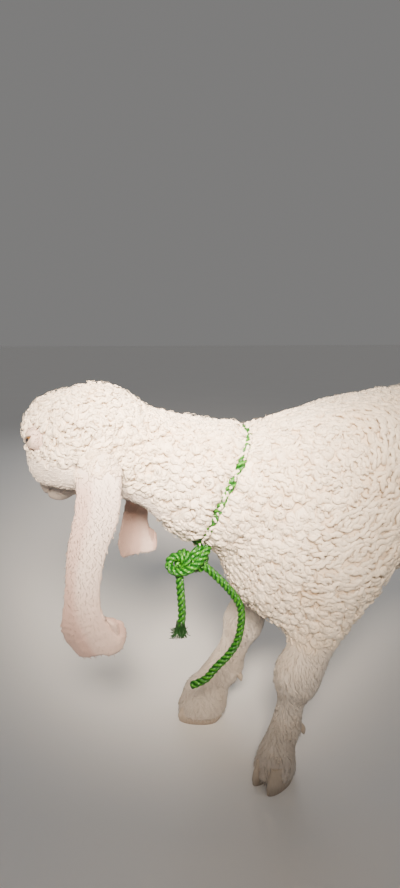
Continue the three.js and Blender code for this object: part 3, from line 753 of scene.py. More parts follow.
def add_collar(rope):
    collar = laid_rope("rope_collar", collar_centreline(), closed=True)
    finish_piece(collar, rope, "rope", "collar_rope")
    wraps = [
        laid_rope("wrap", ring_path(knot + MM * np.array(moved), axis, MM * np.array(radii)), closed=True)
        for knot, moved, axis, radii in KNOT_ROUNDS
    ]
    wraps.append(laid_rope("wrap", smooth_path(KNOT_BRIDGE, ROPE_STEP)))
    select_only(*wraps)
    bpy.ops.object.join()
    knot = wraps[0]
    knot.name = "rope_knot"
    finish_piece(knot, rope, "rope", "collar_knot")


# ---------------------------------------------------------------- the skin

SKIN_VOXEL = 2.5 * MM
SEAM_OVERLAP = 0.5 * MM  # the solids grow by this, so that their copies join
EYE_INSET = 2 * MM  # and the eyes shrink by this, to leave a socket that is closed behind
SKIN_SMOOTHING = 28  # rounds of smoothing
SKIN_KEPT = 0.31  # of the skin's triangles, after thinning
THINNING_BIAS = 20.0
FINE_FROM = 34  # millimetres in front of the head's centre, where the face gets finer triangles
FINE_REACH = 140  # millimetres from the head's centre, and no farther
FINE_ROUND_EYES = (20 * MM, 16 * MM, 11 * MM)  # each makes them finer again within its distance
FOOT_SLEEVE = 21 * MM  # how far the hairy skin is drawn down over the claws
FOOT_FLARE = 3.5 * MM  # and how far out
FOOT_REACH = 60 * MM  # from the middle between its claws


def working_copy(node):
    """A merged copy of a solid, ready to be shaped."""
    source = frame["nodes"][node]
    copy = source.copy()
    copy.data = source.data.copy()
    copy.parent = None
    for key in [k for k in copy.keys() if k.startswith("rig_")]:
        del copy[key]
    bpy.context.scene.collection.objects.link(copy)
    select_only(copy)
    bpy.ops.object.mode_set(mode="EDIT")
    bpy.ops.mesh.select_all(action="SELECT")
    bpy.ops.mesh.remove_doubles(threshold=1e-6)
    if node in EARS:
        bpy.ops.mesh.tris_convert_to_quads(face_threshold=1.2, shape_threshold=1.2)
    elif node in EYES:
        bpy.ops.transform.shrink_fatten(value=-EYE_INSET)
    else:
        bpy.ops.transform.shrink_fatten(value=SEAM_OVERLAP)
    bpy.ops.object.mode_set(mode="OBJECT")
    if node in EARS:
        apply_modifier(copy, "SUBSURF", levels=2, render_levels=2)
    return copy


def ear_weights(points, ear_tree, path):
    """How far each point belongs to an ear: 0 off it and at its root, 1 along its blade."""
    reach, share = distance_to_path(points, path)
    weight = np.zeros(len(points))
    for i in np.flatnonzero(reach < EAR_REACH):
        _, _, _, gap = ear_tree.find_nearest(points[i], 6 * MM)
        if gap is not None:
            weight[i] = ramp(gap, 2.6 * MM, 1.2 * MM) * ramp(share[i], 0.07, 0.16)
    return weight, share


def regions(points, ear, down_ear):
    """Shares of the body's regions at each point, from 0 to 1."""
    head = in_head(points)
    reach = np.linalg.norm(head, axis=1)
    body = 1 - ear
    on_head = ramp(reach, 118, 96) * body
    cheek = np.clip(15 - head[:, 2], 0, 60)
    face = ramp(head[:, 0] + cheek, 30, 50) * ramp(reach, 140, 128) * body
    for name in EYES:
        gap = np.linalg.norm(points - EYE_CENTRES[name], axis=1)
        face = np.maximum(face, ramp(gap, 17 * MM, 12 * MM) * body)
    muzzle = ramp(head[:, 0], 76, 97) * ramp(reach, 150, 138) * body
    leg = ramp(points[:, 2], 0.236, 0.172) * body
    foot = ramp(points[:, 2], 0.13, 0.05) * body
    tail = ramp(points[:, 0], 0.372, 0.392) * ramp(points[:, 2], 0.20, 0.24)
    ear_wool = ear * ramp(down_ear, 0.28, 0.10)
    ear_tip = ear * ramp(down_ear, 0.5, 0.85)
    return {
        "ear": ear, "ear_wool": ear_wool, "ear_tip": ear_tip, "waved": waves(points)[2], "head": on_head,
        "face": face, "muzzle": muzzle, "leg": leg, "foot": foot, "tail": tail,
    }


def by_region(base, values, region):
    """A number for each point: the base, and a value of its own in each named region."""
    for name, value in values.items():
        base = mix(base, value, region[name])
    return base


# In millimetres, from the skin to the coat's tips.
COAT_DEPTH = {
    "waved": 5.5, "head": 6.3, "tail": 6.0, "leg": 3.0, "foot": 2.2, "face": 2.0, "muzzle": 0.5, "ear": 0.5,
}
BODY_COAT_DEPTH = 7.5


def coat_depth(region):
    return by_region(np.full(len(region["ear"]), BODY_COAT_DEPTH), COAT_DEPTH, region) * MM


def apply_weighted(obj, weights, kind, **settings):
    """Applies a modifier that acts more where the weight is high."""
    group = obj.vertex_groups.new(name="weights")
    levels = np.round(np.clip(weights, 0, 1) * 10).astype(int)
    for level in range(1, 11):
        members = np.flatnonzero(levels == level).tolist()
        if members:
            group.add(members, level / 10, "REPLACE")
    apply_modifier(obj, kind, vertex_group=group.name, **settings)
    obj.vertex_groups.remove(obj.vertex_groups["weights"])


def refine_where(obj, chosen):
    """Splits the faces whose corners are all chosen."""
    mesh = obj.data
    select_only(obj)
    mesh.vertices.foreach_set("select", np.zeros(len(mesh.vertices), bool))
    mesh.edges.foreach_set("select", np.zeros(len(mesh.edges), bool))
    mesh.polygons.foreach_set("select", chosen[triangles_of(mesh)].all(1))
    bpy.ops.object.mode_set(mode="EDIT")
    bpy.ops.mesh.select_mode(type="FACE")
    bpy.ops.mesh.subdivide(number_cuts=1, smoothness=0)
    bpy.ops.mesh.select_all(action="SELECT")
    bpy.ops.mesh.quads_convert_to_tris()
    bpy.ops.object.mode_set(mode="OBJECT")


EYE_CENTRES = {name: np.array(sum(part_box(name), Vector())) / 2 for name in EYES}
EYE_RADIUS = 12.0 * MM
LID_RADIUS = 13.6 * MM  # the lids' outer side, from the eye's middle
BEHIND_LIDS = 9.0 * MM  # where the skin lies in the opening, inside the eyeball
EYE_OPENING = (9.0 * MM, 3.3 * MM)  # half its length and half its height


def eye_axes(name):
    """Outward, towards the muzzle and up, for an eye."""
    side = LEFT if name == "eye_left" else -LEFT
    outward = unit(side + 0.22 * NOSE + 0.05 * BROW)
    forward = unit(NOSE - outward * (NOSE @ outward))
    return np.stack([outward, forward, np.cross(outward, forward)])


def lid_gap(points):
    """Distance from the middle of the nearer eye's opening."""
    fronts = [EYE_CENTRES[name] + eye_axes(name)[0] * LID_RADIUS for name in EYES]
    return np.min([np.linalg.norm(points - front, axis=1) for front in fronts], 0)


def shape_lids(points):
    """Draws the skin round each eyeball, with an almond opening between two thick lids."""
    for name in EYES:
        centre, axes = EYE_CENTRES[name], eye_axes(name)
        if axes[2] @ BROW < 0:
            axes[2] *= -1
        local = (points - centre) @ axes.T
        distance = np.linalg.norm(local, axis=1)
        near = (distance < 34 * MM) & (local[:, 0] > -6 * MM)
        direction = local / np.maximum(distance, 1e-9)[:, None]
        a, b = direction[:, 1] * LID_RADIUS, direction[:, 2] * LID_RADIUS
        upper = EYE_OPENING[1] * (1.15 - 0.35 * (a / EYE_OPENING[0]) ** 2)
        lower = EYE_OPENING[1] * 0.75
        height = np.where(b > 0, b / np.maximum(upper, 1 * MM), b / lower)
        almond = np.sqrt((a / EYE_OPENING[0]) ** 2 + height**2)
        front = ramp(direction[:, 0], 0.25, 0.5)
        lid = LID_RADIUS + 0.9 * MM * np.exp(-(((almond - 1.25) / 0.22) ** 2))
        fold = 1.1 * MM * np.exp(-(((almond - 2.0) / 0.16) ** 2)) * (b > 0)
        wanted = mix(BEHIND_LIDS, lid, ramp(almond, 0.92, 1.1)) - fold
        share = front * ramp(almond, 3.3, 1.9) * near
        reach = mix(distance, wanted, share)
        over_ball = near & (direction[:, 0] > -0.25) & (almond > 1.1)
        reach = np.where(over_ball, np.maximum(reach, LID_RADIUS * ramp(direction[:, 0], -1.1, -0.1)), reach)
        target = centre + (direction * reach[:, None]) @ axes
        points = np.where(near[:, None], target, points)
    return points


# Lines on the face, in the head's own millimetres, on its left side.
MOUTH = [(112, 2, -12), (108, 10, -14), (99, 17, -16), (86, 21, -17), (72, 24, -15)]
NOSTRIL = [(112.5, 4.5, -3), (111.5, 8.5, -1.5), (109, 12.5, 2), (105.5, 14.5, 6)]
PHILTRUM = [(114, 0, -1), (113, 0, -12)]
TEAR_GROOVE = [(38, 40, 10), (52, 34, 4), (64, 29, 0)]


def carve(points, head, normals, line, width, depth):
    """Presses a groove into the skin along a line of the face, on both sides. A ridge has depth under 0."""
    for side in (1, -1):
        path = np.array([(u, v * side, w) for u, v, w in line], float)
        gap, share = distance_to_path(head, path)
        fade = ramp(share, -0.05, 0.12) * ramp(share, 1.05, 0.85)
        press = depth * np.exp(-((gap / width) ** 2)) * fade
        points = points - normals * (press * MM)[:, None]
    return points


def face_lines():
    """The lines carved into the face: their points, and their width and depth in millimetres."""
    lips = [(u, v, w + 4.5) for u, v, w in MOUTH]
    wing = [(u - 1.5, v + 3.4, w + 1) for u, v, w in NOSTRIL]
    lines = [
        (MOUTH, 2.3, 3.2), (NOSTRIL, 2.3, 6.0), (PHILTRUM, 1.6, 1.0), (lips, 2.2, -0.8), (wing, 2.4, -1.3),
        (TEAR_GROOVE, 3.0, 1.4),
    ]
    for back in (0, 7, 14):  # loose folds behind the corner of the mouth
        fold = [(70 - back, 26 + back * 0.3, -6), (64 - back, 28 + back * 0.4, -16), (62 - back, 24, -26)]
        lines.append((fold, 2.2, 1.0))
    return lines


def shape_face(obj):
    """Lids, nostrils, lips, philtrum and the folds before the eye and behind the mouth."""
    points = shape_lids(points_of(obj))
    move_points(obj, points)
    normals, head = normals_of(obj), in_head(points)
    near = ramp(head[:, 0], 30, 50)[:, None]
    sculpted = points
    for line, width, depth in face_lines():
        sculpted = carve(sculpted, head, normals, line, width, depth)
    move_points(obj, mix(points, sculpted, near))


def ear_ripples(across, t):
    """Relief of an ear's wrinkles in millimetres: long waves all down it, and finer ones low down."""
    wave = np.sin(across * 0.3 + 3.0 * np.sin(t * 7)) + 0.5 * np.sin(across * 0.7 - t * 13)
    ripples = np.sin(t * 170 + 1.2 * np.sin(across * 0.21) + 2.0 * np.sin(t * 31)) * ramp(t, 0.6, 0.75)
    ripples *= 0.5 + 0.5 * np.sin(across * 0.33 + t * 47)
    return (0.25 * wave + 0.22 * ripples) * ramp(t, 0.12, 0.3)


def forward_spread(across, t):
    """How far the near ear's blade is spread forwards, in millimetres. Under 0 it is spread rearwards."""
    spread = 6 * ramp(-across, 4, 26) * np.exp(-(((t - 0.8) / 0.09) ** 2))
    spread += 5 * ramp(-across, 2, 20) * ramp(t, 0.06, 0.16) * ramp(t, 0.72, 0.5)
    spread -= 3.5 * ramp(across, 2, 16) * ramp(t, 0.0, 0.08) * ramp(t, 0.5, 0.3)
    return spread - 7 * ramp(across, 14, 30) * ramp(t, 0.78, 0.9)


CREASE_DEPTH = 6.5  # millimetres, between blade and rear lobe
LOBE_STEP = 4.0 * MM  # how far the lobe lies inwards of the blade
LOBE_SAG = 6


def shape_ears(points, weights, share, normals):
    """Wrinkles down the blade, and the crease that parts the rear lobe from it."""
    for name, control in EARS.items():
        path = smooth_path(control, 3 * MM)
        w, t = weights[name], share[name]
        index = np.clip((t * (len(path) - 1)).astype(int), 0, len(path) - 2)
        along = unit(path[index + 1] - path[index])
        rearward = flatten_to(np.broadcast_to(EAR_REARWARD[name], along.shape), along)
        across = np.sum((points - path[index]) * rearward, 1) / MM
        lobe = ramp(across, 22.5, 25.5) * ramp(t, 0.76, 0.82)
        crease = np.exp(-(((across - 24) / 2.8) ** 2)) * ramp(t, 0.72, 0.8) * ramp(t, 0.96, 0.87)
        push = ear_ripples(across, t) - CREASE_DEPTH * crease
        points = points + normals * (push * w * MM)[:, None]
        points[:, 1] += LOBE_STEP * lobe * w * (1 if name == "ear_left" else -1)
        if name == "ear_left":
            sag = LOBE_SAG * ramp(across, 0, 12) * ramp(across, 34, 18) * ramp(t, 0.84, 0.98)
            points[:, 2] -= sag * w * MM
            points = points - rearward * (forward_spread(across, t) * w * MM)[:, None]
    return points


def draw_over_claws(points):
    """Draws the hairy skin of each foot down and out over its claws."""
    low = ramp(points[:, 2], 50 * MM, 31 * MM)
    for middle, *_ in FEET.values():
        away = (points - middle) * [1, 1, 0]
        on_foot = np.linalg.norm(away, axis=1, keepdims=True) < FOOT_REACH
        points = points + unit(away) * (FOOT_FLARE * low[:, None] * on_foot)
    points[:, 2] -= FOOT_SLEEVE * low
    return points


def joined_flesh():
    """All the flesh as one closed mesh, and a search tree of each ear's own solid."""
    copies = {node: working_copy(node) for node in FLESH + EYES}
    ear_trees = {
        name: BVHTree.FromPolygons(
            points_of(copies[name]).tolist(), [tuple(p.vertices) for p in copies[name].data.polygons]
        )
        for name in EARS
    }
    select_only(*copies.values())
    bpy.ops.object.join()
    skin = copies[FLESH[0]]
    skin.name = "skin"
    skin.data.name = "skin"
    apply_modifier(skin, "REMESH", mode="VOXEL", voxel_size=SKIN_VOXEL, adaptivity=0)
    drop_crumbs(skin)
    return skin, ear_trees


def fit_under_coat(skin, ear_trees):
    """Smooths the skin, lays it in by the coat's depth, shapes ears and feet, and marks the ears on it."""
    points = points_of(skin)
    found = {name: ear_weights(points, ear_trees[name], smooth_path(EARS[name], 5 * MM)) for name in EARS}
    weights = {name: found[name][0] for name in EARS}
    share = {name: found[name][1] for name in EARS}
    ear = np.maximum(weights["ear_left"], weights["ear_right"])
    near_left = weights["ear_left"] > weights["ear_right"]
    down_ear = np.where(near_left, share["ear_left"], share["ear_right"])
    apply_weighted(skin, mix(1.0, 0.2, ear), "SMOOTH", factor=0.5, iterations=SKIN_SMOOTHING)

    points, normals = points_of(skin), normals_of(skin)
    region = regions(points, ear, down_ear)
    points = points - normals * coat_depth(region)[:, None]
    points = shape_ears(points, weights, share, normals)
    move_points(skin, draw_over_claws(points))
    write_attribute(skin.data, "ear", ear)
    write_attribute(skin.data, "down_ear", down_ear)
    return region


def refine_skin(skin, region):
    """Fewer triangles under the fleece, and more on the face and round the eyes."""
    fleeced = (1 - region["face"]) * (1 - region["ear"]) * (1 - region["leg"])
    apply_modifier(skin, "TRIANGULATE")
    apply_weighted(skin, fleeced, "DECIMATE", ratio=SKIN_KEPT, vertex_group_factor=THINNING_BIAS)
    head = in_head(points_of(skin))
    refine_where(skin, (head[:, 0] > FINE_FROM) & (np.linalg.norm(head, axis=1) < FINE_REACH))
    for near in FINE_ROUND_EYES:
        refine_where(skin, lid_gap(points_of(skin)) < near)


def unwrap(obj):
    select_only(obj)
    bpy.ops.object.mode_set(mode="EDIT")
    bpy.ops.mesh.select_all(action="SELECT")
    bpy.ops.uv.smart_project(angle_limit=math.radians(66), island_margin=0.002)
    bpy.ops.object.mode_set(mode="OBJECT")
    obj.data.uv_layers[0].name = "OFBake"


def make_skin(material):
    """One skin from all the solids of flesh, and the shares of the body's regions at its points."""
    skin, ear_trees = joined_flesh()
    region = fit_under_coat(skin, ear_trees)
    refine_skin(skin, region)
    shape_face(skin)
    region = regions(points_of(skin), read_attribute(skin, "ear"), read_attribute(skin, "down_ear"))
    for name in ("ear", "down_ear"):
        skin.data.attributes.remove(skin.data.attributes[name])
    mark_skin(skin, region)
    unwrap(skin)
    bpy.ops.object.shade_smooth()
    finish_piece(skin, material, "hair", *FLESH)
    return skin, region


def drop_crumbs(obj):
    """Deletes all but the connected piece that reaches highest, which is the outer skin."""
    select_only(obj)
    obj.data.polygons.foreach_set("select", np.zeros(len(obj.data.polygons), bool))
    obj.data.edges.foreach_set("select", np.zeros(len(obj.data.edges), bool))
    chosen = np.zeros(len(obj.data.vertices), bool)
    chosen[int(np.argmax(points_of(obj)[:, 2]))] = True
    obj.data.vertices.foreach_set("select", chosen)
    bpy.ops.object.mode_set(mode="EDIT")
    bpy.ops.mesh.select_mode(type="VERT")
    bpy.ops.mesh.select_linked()
    bpy.ops.mesh.select_all(action="INVERT")
    bpy.ops.mesh.delete(type="VERT")
    bpy.ops.object.mode_set(mode="OBJECT")


def read_attribute(obj, name):
    values = np.empty(len(obj.data.vertices), np.float32)
    obj.data.attributes[name].data.foreach_get("value", values)
    return values.astype(float)


def inner_ear(points):
    """Where the hollow side of each ear is, from 0 to 1."""
    inner = np.zeros(len(points))
    for control in EARS.values():
        path = smooth_path(control, 12 * MM)
        gap, share = distance_to_path(points, path)
        middle = np.interp(share * (len(path) - 1), np.arange(len(path)), np.abs(path[:, 1]))
        inward = ramp(middle - np.abs(points[:, 1]), -1 * MM, 3 * MM)
        inner = np.maximum(inner, inward * (gap < EAR_REACH) * (points[:, 1] * path[-1, 1] > 0))
    return inner


def bare_skin_and_shade(points, region):
    """How far pink skin shows through: on muzzle, lids and in the ears. Towards the lower end of each ear and
    in its hollow the pink is also painted shade.
    """
    nose = ramp(in_head(points)[:, 0], 90, 106) * region["muzzle"]
    hairy_ear = region["ear"] - region["ear_wool"]
    bare = 0.7 * nose + 0.25 * region["muzzle"] + 0.08 * region["face"] + 0.36 * hairy_ear
    # Painted shade: the lower end of each ear is drawn pinker and darker; in the hollow the pink is partly
    # bare skin, partly painted shade.
    bare += 0.25 * region["ear_tip"] + 0.5 * inner_ear(points) * hairy_ear
    for name in EYES:
        gap = np.linalg.norm(points - EYE_CENTRES[name], axis=1)
        bare = np.maximum(bare, 0.6 * ramp(gap, 17 * MM, 14 * MM))
    return np.clip(bare, 0, 1)


def dirt_and_painted_shade(points, region):
    """How far it is darkened: with dirt and painted shade on the legs, low down and on the muzzle, and with
    painted shade in the ear hollows, in the nostril and mouth grooves and round the eye openings.
    """
    darkened = 0.2 * region["leg"] + 0.45 * ramp(points[:, 2], 0.17, 0.02) * (1 - region["ear"])
    darkened = np.maximum(darkened, 0.45 * region["muzzle"])
    darkened = np.maximum(darkened, 0.3 * inner_ear(points) * region["ear"])
    head = in_head(points)
    half = np.column_stack([head[:, 0], np.abs(head[:, 1]), head[:, 2]])
    # Painted shade in the nostril and mouth grooves, and round the eye openings.
    darkened = np.maximum(darkened, ramp(distance_to_path(half, np.array(NOSTRIL))[0], 4.5, 2.0))
    darkened = np.maximum(darkened, 0.8 * ramp(distance_to_path(half, np.array(MOUTH))[0], 3.2, 1.4))
    return np.maximum(darkened, 0.8 * ramp(lid_gap(points), 11 * MM, 7 * MM))


def mark_skin(skin, region):
    points = points_of(skin)
    write_attribute(skin.data, "bare", bare_skin_and_shade(points, region))
    write_attribute(skin.data, "dirt_and_shade", dirt_and_painted_shade(points, region))
    woolly = (1 - region["face"]) * (1 - region["leg"]) * (1 - region["ear"])
    write_attribute(skin.data, "woolly", woolly)


# ---------------------------------------------------------------- locks and hairs

BAKE_PATCH = 0.003  # the share of the UV map's width that one lock's patch takes up
SLANT = [0.36, 0.48, 0.8]  # a direction that nothing on the animal lies along, to cross others with


class Locks:
    """Many tapered tubes along their centre lines: the arrays of one joined mesh."""

    def __init__(self, centre, normals, radius, sides, flat=0.85):
        self.count, steps, _ = centre.shape
        rings = steps - 1
        share = np.linspace(0, 1, steps)
        tangent = unit(np.gradient(centre, axis=1))
        across = np.cross(tangent, normals)
        weak = np.linalg.norm(across, axis=2, keepdims=True) < 0.05
        across = unit(np.where(weak, np.cross(tangent, SLANT), across))
        under = np.cross(tangent, across)
        taper = np.interp(share[:-1], [0, 0.15, 0.55, 0.85, 1], [0.8, 1.0, 1.0, 0.8, 0.4])
        size = radius[:, None] * taper[None]
        angle = np.linspace(0, 2 * math.pi, sides, endpoint=False)
        c, s = np.cos(angle), np.sin(angle)
        round_it = across[:, :-1, None] * c[:, None] + flat * under[:, :-1, None] * s[:, None]
        tube = centre[:, :-1, None] + size[..., None, None] * round_it
        self.per_lock = rings * sides + 1
        self.points = np.concatenate([tube.reshape(self.count, -1, 3), centre[:, -1:]], 1).reshape(-1, 3)
        self.along = np.tile(np.append(np.repeat(share[:-1], sides), 1.0), self.count)
        walked = np.cumsum(np.linalg.norm(np.diff(centre, axis=1, prepend=centre[:, :1]), axis=2), 1)
        wide, deep = size[..., None] * c, size[..., None] * s
        girth = np.stack(np.broadcast_arrays(wide, deep, walked[:, :-1, None]), -1)
        tip = np.stack([walked[:, -1] * 0, walked[:, -1] * 0, walked[:, -1]], -1)[:, None]
        self.fibre = np.concatenate([girth.reshape(self.count, -1, 3), tip], 1)
        self.weave(rings, sides)

    def weave(self, rings, sides):
        faces, self.template_uv = lock_template(rings, sides)
        self.triangles = (faces[None] + np.arange(self.count)[:, None, None] * self.per_lock).reshape(-1, 3)

    @classmethod
    def shaped(cls, rings, tips, level):
        """Locks from their rings of points (lock, ring, side, xyz) and tips. Level is each ring's height."""
        locks = cls.__new__(cls)
        locks.count, count, sides, _ = rings.shape
        locks.per_lock = count * sides + 1
        locks.points = np.concatenate([rings.reshape(locks.count, -1, 3), tips], 1).reshape(-1, 3)
        locks.along = np.tile(np.append(np.repeat(np.clip(level, 0, 1), sides), 1.0), locks.count)
        locks.fibre = locks.points.reshape(locks.count, -1, 3) - tips
        locks.weave(count, sides)
        return locks

    def corner_uv(self, root_uv, patch=BAKE_PATCH):
        spread = root_uv[:, None, None] + patch * (self.template_uv[None] - 0.5)
        return spread.reshape(-1, 2)


def lock_template(rings, sides):
    """Triangles and corner coordinates of one lock: rings of points, then the tip."""
    faces, uvs = [], []
    tip = rings * sides
    for r in range(rings - 1):
        for k in range(sides):
            m = (k + 1) % sides
            a, b = r * sides + k, r * sides + m
            c, d = (r + 1) * sides + m, (r + 1) * sides + k
            u0, u1, v0, v1 = k / sides, (k + 1) / sides, r / rings, (r + 1) / rings
            faces += [(a, b, c), (a, c, d)]
            uvs += [[(u0, v0), (u1, v0), (u1, v1)], [(u0, v0), (u1, v1), (u0, v1)]]
    top = (rings - 1) * sides
    for k in range(sides):
        faces.append((top + k, top + (k + 1) % sides, tip))
        uvs.append([(k / sides, 1 - 1 / rings), ((k + 1) / sides, 1 - 1 / rings), ((k + 0.5) / sides, 1.0)])
    for k in range(1, sides - 1):
        faces.append((k + 1, k, 0))
        uvs.append([(0.9, 0.0), (0.5, 0.0), (0.1, 0.0)])
    return np.array(faces), np.array(uvs)


def rising(share, quick, height, sink):
    """Height over the skin along a lock: up out of the skin within `quick` of its length, then level."""
    climb = np.sin(np.clip(share / quick, 0, 1) * math.pi / 2)
    return -sink + (height[:, None] + sink) * climb


def laid_paths(at, normal, lean, length, turn, steps, crimp=0.0, phase=0.0):
    """Paths in the surface's plane that set off along `lean`, bend by `turn` radians and wave by `crimp`."""
    share = np.linspace(0, 1, steps)[None]
    swing = crimp * np.sin(2 * math.pi * (1.2 * share + np.reshape(phase, (-1, 1))))
    heading = turn[:, None] * share**1.3 + swing
    pace = (length / (steps - 1))[:, None]
    forward = np.cumsum(np.cos(heading) * pace, 1) - np.cos(heading[:, :1]) * pace
    sideways = np.cumsum(np.sin(heading) * pace, 1) - np.sin(heading[:, :1]) * pace
    side = np.cross(normal, lean)
    return at[:, None] + forward[..., None] * lean[:, None] + sideways[..., None] * side[:, None]


def coiled_paths(at, middle, out, spin, sweep, steps):
    """Paths in the clump's plane that wind inwards round its middle."""
    share = np.linspace(0, 1, steps)[None]
    across = unit(np.cross(out, SLANT))
    other = np.cross(out, across)
    offset = at - middle
    a, b = np.sum(offset * across, 1), np.sum(offset * other, 1)
    start = np.maximum(np.hypot(a, b), 1.8 * MM)
    angle = np.arctan2(b, a)[:, None] + (spin * sweep)[:, None] * share
    reach = start[:, None] * (1 - 0.72 * share)
    return (
        middle[:, None] + (reach * np.cos(angle))[..., None] * across[:, None]
        + (reach * np.sin(angle))[..., None] * other[:, None]
    )


class Surface:
    """The skin, for laying things on it."""

    def __init__(self, skin):
        self.tree = BVHTree.FromPolygons(points_of(skin).tolist(), triangles_of(skin.data).tolist())

    def under(self, paths):
        """The nearest places on the skin, and the skin's normals there."""
        places, normals = [], []
        for p in paths.reshape(-1, 3).tolist():
            place_at, normal, _, _ = self.tree.find_nearest(p)
            places.append(place_at)
            normals.append(normal)
        return np.array(places).reshape(paths.shape), np.array(normals).reshape(paths.shape)


# ---------------------------------------------------------------- where the coat grows


ROPE_ROOM = 2 * MM  # no lock has its root nearer beside the rope's middle than this
ROPE_COVER = 7.5 * MM  # locks with roots nearer than this lie over the rope
BESIDE_ROPE = 9 * MM  # nearer than this, locks and clumps are shaped to the rope
ROPE_BARED = 10 * MM  # where the rope shows, the clumps keep this far from its middle


class Roots:
    """Places on the skin with what the skin is like there. Taking some of them keeps all their columns."""

    def __init__(self, columns):
        self.columns = columns

    def __getattr__(self, name):
        return self.columns[name]

    def __len__(self):
        return len(self.columns["at"])

    def take(self, chosen):
        return Roots({key: value[chosen] for key, value in self.columns.items()})


# In millimetres between the roots of two locks or hairs.
ROOT_SPACING = {"head": 4.5, "leg": 2.9, "face": 2.1, "muzzle": 2.6, "ear": 2.4, "ear_wool": 4.2}


def behind_shoulder(points):
    """0 on head, neck and shoulders, and 1 behind them, where the fleece is coarser."""
    return ramp(points[:, 0], 0.02, 0.1)


def root_spacing(points, region):
    return by_region(mix(5.3, 6.6, behind_shoulder(points)), ROOT_SPACING, region) * MM


def sow(skin, region, rng):
    """Roots all over the skin, no two nearer than the spacing of their region."""
    mesh = skin.data
    points, normals = points_of(skin), normals_of(skin)
    faces = triangles_of(mesh)
    uv = np.empty(len(mesh.loops) * 2)
    mesh.uv_layers["OFBake"].data.foreach_get("uv", uv)
    uv = uv.reshape(-1, 3, 2)
    a, b, c = (points[faces[:, k]] for k in range(3))
    area = np.linalg.norm(np.cross(b - a, c - a), axis=1) / 2
    spacing = root_spacing(points, region)
    wanted = area / spacing[faces].mean(1) ** 2
    count = int(wanted.sum() * 6)
    chosen = rng.choice(len(faces), count, p=wanted / wanted.sum())
    share = rng.uniform(0, 1, (count, 2))
    share[share.sum(1) > 1] = 1 - share[share.sum(1) > 1]
    weights = np.stack([1 - share.sum(1), share[:, 0], share[:, 1]], 1)

    def spread(values):
        return np.einsum("nk,nk...->n...", weights, values[faces[chosen]])

    columns = {
        "at": spread(points),
        "normal": unit(spread(normals)),
        "uv": np.einsum("nk,nkc->nc", weights, uv[chosen]),
        "spacing": spread(spacing),
    }
    for name, values in region.items():
        columns[name] = spread(values)
    roots = Roots(columns)
    return roots.take(thin_out(roots.at, roots.spacing))


def thin_out(points, spacing):
    """Indices of points that keep their distance from those already taken."""
    cell = float(spacing.max())
    keys = np.floor(points / cell).astype(int)
    grid = {}
    kept = []
    steps = [(i, j, k) for i in (-1, 0, 1) for j in (-1, 0, 1) for k in (-1, 0, 1)]
    cells = [tuple(k) for k in keys.tolist()]
    limits = (spacing**2).tolist()
    for index, (x, y, z) in enumerate(points.tolist()):
        i, j, k = cells[index]
        limit = limits[index]
        clear = True
        for di, dj, dk in steps:
            for px, py, pz in grid.get((i + di, j + dj, k + dk), ()):
                if (px - x) ** 2 + (py - y) ** 2 + (pz - z) ** 2 < limit:
                    clear = False
                    break
            if not clear:
                break
        if clear:
            grid.setdefault((i, j, k), []).append((x, y, z))
            kept.append(index)
    return np.array(kept)


def lie_of_coat(roots):
    """The way the coat lies: back along head, neck and trunk, down legs and tail, along the ears."""
    at, normal = roots.at, roots.normal
    lie = np.tile([1.0, 0.0, -0.3], (len(at), 1))
    on_head = np.maximum(roots.head, roots.face)[:, None]
    lie = mix(lie, -NOSE + 0.25 * BROW * np.sign(in_head(at)[:, 2:3]), on_head)
    lie = mix(lie, np.array([0.12, 0.0, -1.0]), roots.leg[:, None])
    lie = mix(lie, np.array([0.1, 0.0, -1.0]), roots.tail[:, None])
    for control in EARS.values():
        path = smooth_path(control, 5 * MM)
        gap, share = distance_to_path(at, path)
        index = np.clip((share * (len(path) - 1)).astype(int), 0, len(path) - 2)
        along = unit(path[index + 1] - path[index])
        lie = mix(lie, along, (roots.ear * (gap < 50 * MM))[:, None])
    return flatten_to(lie, normal)


def turned(direction, normal, angle):
    """A direction in the surface, turned about the normal."""
    angle = np.asarray(angle)[:, None]
    return direction * np.cos(angle) + np.cross(normal, direction) * np.sin(angle)


CLUMP_WIDTH = {"head": 8.0, "ear_wool": 7.0}
SHOULDER_WHORL = {side: place(62, 100 * side, 440) for side in (LEFT_SIDE, RIGHT_SIDE)}
WAVE_LENGTH = 13 * MM
FUZZ_SHARE = 0.5  # of the locks, those with a loose fibre beside them
COMBED_SHARE = 0.6  # of the clumps, those whose locks lie side by side
LOCK_STEPS = 8
LOCK_SINK = 1.5 * MM


def add_clumps(roots, rng):
    """Gathers the roots into clumps: each clump's middle, the way it faces and the side it winds to."""
    wide = by_region(mix(9.6, 12.5, behind_shoulder(roots.at)), CLUMP_WIDTH, roots.columns)
    wide = wide * MM * rng.uniform(0.7, 1.25, len(roots))
    centres = thin_out(roots.at, wide)
    tree = KDTree(len(centres))
    for i, c in enumerate(centres):
        tree.insert(roots.at[c], i)
    tree.balance()
    nearest = np.array([tree.find(p)[1] for p in roots.at])
    lean = turned(roots.lie[centres], roots.normal[centres], rng.uniform(-1.1, 0.5, len(centres)))
    roots.columns.update(
        comb=lean[nearest], combed=(rng.uniform(0, 1, len(centres)) < COMBED_SHARE)[nearest],
        middle=roots.at[centres][nearest], out=roots.normal[centres][nearest], wide=wide[centres][nearest],
        spin=rng.choice([-1.0, 1.0], len(centres))[nearest], sweep=rng.uniform(2.4, 4.4, len(roots)),
        chance=rng.uniform(0, 1, (len(roots), 4)),
        heart=np.isin(np.arange(len(roots)), centres).astype(float),
    )


